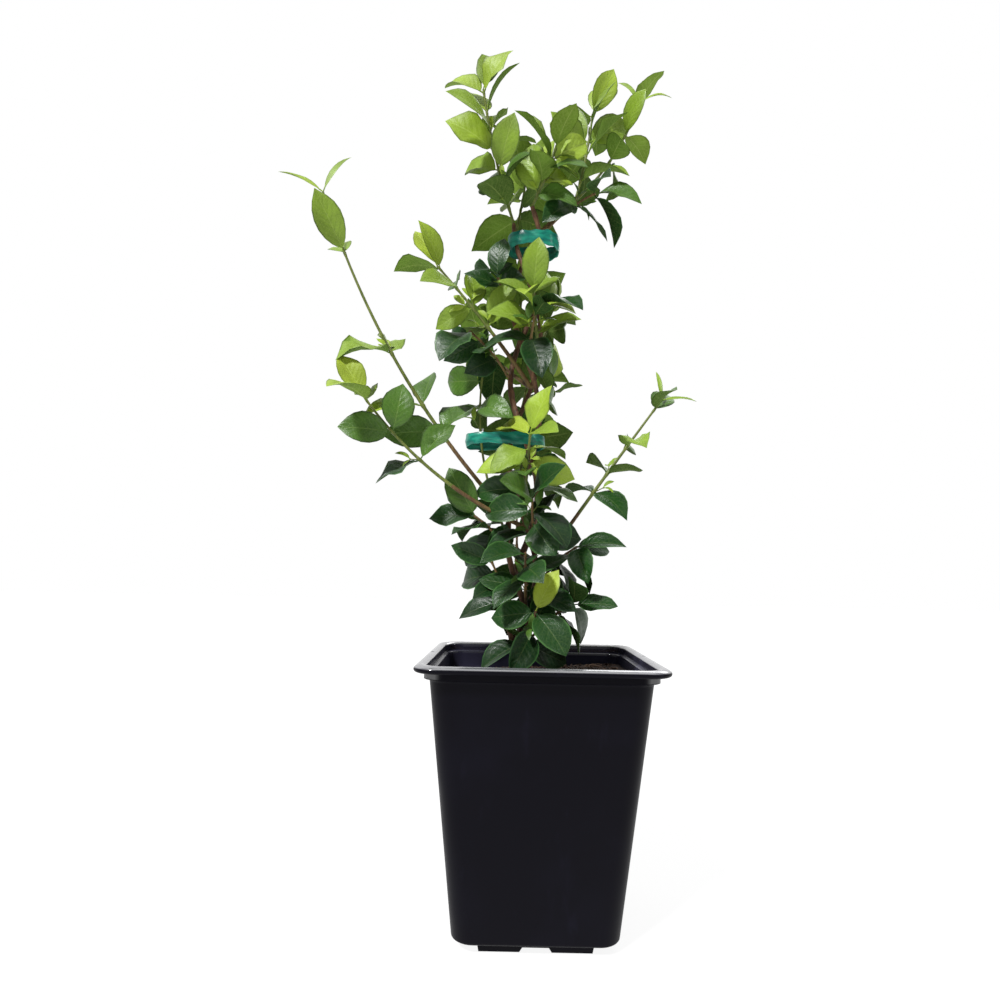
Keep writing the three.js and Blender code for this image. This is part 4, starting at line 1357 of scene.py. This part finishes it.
def mixed(colour, other, share):
    """A colour part of the way to another."""
    return tuple(a + (b - a) * share for a, b in zip(colour, other))


black = linear(0, 0, 0)
pale_vein = linear(*PALE_VEIN)
for tone, look in TONES.items():
    verts = []
    faces = []
    for leaf in leaves[tone]:
        faces += [tuple(i + len(verts) for i in face) for face in LEAF_FACES]
        verts += leaf_points(leaf)
    piece = new_piece("leaves_" + tone, np.array(verts) * MM, faces)
    uv = piece.data.uv_layers.new(name="blade")
    uv.data.foreach_set("uv", np.tile(LEAF_PLACES, (len(leaves[tone]), 1)).ravel())
    breadths = [min(1.0, leaf["width"] / FULL_BREADTH) for leaf in leaves[tone]]
    leaf_breadth = piece.data.attributes.new("breadth", "FLOAT", "FACE")
    leaf_breadth.data.foreach_set("value", np.repeat(breadths, len(LEAF_FACES)))
    underneath = np.tile(np.arange(len(LEAF_FACES)) >= UPPER_COUNT, len(leaves[tone]))
    piece.data.polygons.foreach_set("material_index", underneath.astype(int))
    upper = linear(*look["upper"])
    under = linear(*look["under"])
    edge = linear(*look["edge"])
    upper_shaded = mixed(upper, black, UPPER_SHADED)
    under_shaded = mixed(under, black, UNDER_SHADED)
    upper_vein = mixed(upper, pale_vein, look["vein"])
    under_vein = mixed(under, pale_vein, look["vein"] + UNDER_VEIN)
    for finish in (
        leaf_finish("upper_" + tone, upper, upper_shaded, upper_vein, edge, look["rough"], UPPER_SHINE),
        leaf_finish("under_" + tone, under, under_shaded, under_vein, edge, UNDER_ROUGH, UNDER_SHINE),
    ):
        piece.data.materials.append(finish)
    shade_smooth(piece, sharp_degrees=75)
    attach(piece, "root")
    carried = [shoot["name"] for shoot, bow in shoots if YOUNG_TONES[shoot["shade"]] == tone]
    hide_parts(*("foliage_" + name for name in carried))

# Stage
# A floor of white paper that glows a little, so that hardly a shadow falls on it, in a white room. The main
# light stands high at the front left, and weaker ones at the right and behind. The camera stands close in
# front of the pot, a little above its rim.

FLOOR_SIZE = 12.0
PAPER_GREY = (100, 100, 100)
PAPER_WHITE = (255, 255, 255)
PAPER_GLOW = 0.9
SENSOR_WIDTH = 36.0
CAMERA_PLACE = (-0.022, -0.480, 0.2506)
CAMERA_ROLL = math.radians(-1.2)
CAMERA_LENS = 23.08
CAMERA_SHIFT = (-0.0104, 0.0775)

half = FLOOR_SIZE / 2
floor_corners = [(-half, -half, 0), (half, -half, 0), (half, half, 0), (-half, half, 0)]
floor = new_piece("floor", floor_corners, [(0, 1, 2, 3)])
paper = Finish("white_paper", Roughness=0.9, **{
    "Base Color": linear(*PAPER_GREY), "Specular IOR Level": 0.1, "Emission Color": linear(*PAPER_WHITE),
    "Emission Strength": PAPER_GLOW,
})
floor.data.materials.append(paper.material)

ROOM_LIGHT = 0.16
WALL_LIGHT = 1.0
BACK_WALL = (0.2, 0.6)
CEILING = (0.75, 0.95)
world = bpy.data.worlds.new("studio")
world.use_nodes = True
room = Wire(world.node_tree)
looking = room.node("ShaderNodeSeparateXYZ", values={0: room.node("ShaderNodeTexCoord")})
seen = room.node("ShaderNodeLightPath")
bright = room.math("MAXIMUM", looking.out(1).rise(*BACK_WALL), looking.out(2).rise(*CEILING))
bright = room.math("MAXIMUM", bright, seen)
glow = ROOM_LIGHT + (WALL_LIGHT - ROOM_LIGHT) * bright
background = world.node_tree.nodes["Background"]
background.inputs["Color"].default_value = (1.0, 1.0, 1.0, 1.0)
world.node_tree.links.new(glow.socket, background.inputs["Strength"])
bpy.context.scene.world = world

LIGHTS = dict(
    key=dict(place=(-0.6, -0.75, 1.1), softness=8, strength=3.8),
    fill=dict(place=(0.9, -0.6, 0.6), softness=20, strength=0.35),
    back=dict(place=(0.4, 0.9, 0.8), softness=30, strength=0.5),
)
for name, light in LIGHTS.items():
    lamp = bpy.data.lights.new(name, "SUN")
    lamp.angle = math.radians(light["softness"])
    lamp.energy = light["strength"]
    holder = bpy.data.objects.new(name, lamp)
    holder.rotation_euler = (-Vector(light["place"])).to_track_quat("-Z", "Y").to_euler()
    bpy.context.scene.collection.objects.link(holder)

lens = bpy.data.cameras.new("camera")
lens.sensor_width = SENSOR_WIDTH
lens.lens = CAMERA_LENS
lens.shift_x, lens.shift_y = CAMERA_SHIFT
camera = bpy.data.objects.new("camera", lens)
camera.location = CAMERA_PLACE
camera.rotation_euler = (math.pi / 2, CAMERA_ROLL, 0)
bpy.context.scene.collection.objects.link(camera)
bpy.context.scene.camera = camera
bpy.context.scene.view_settings.view_transform = "Standard"
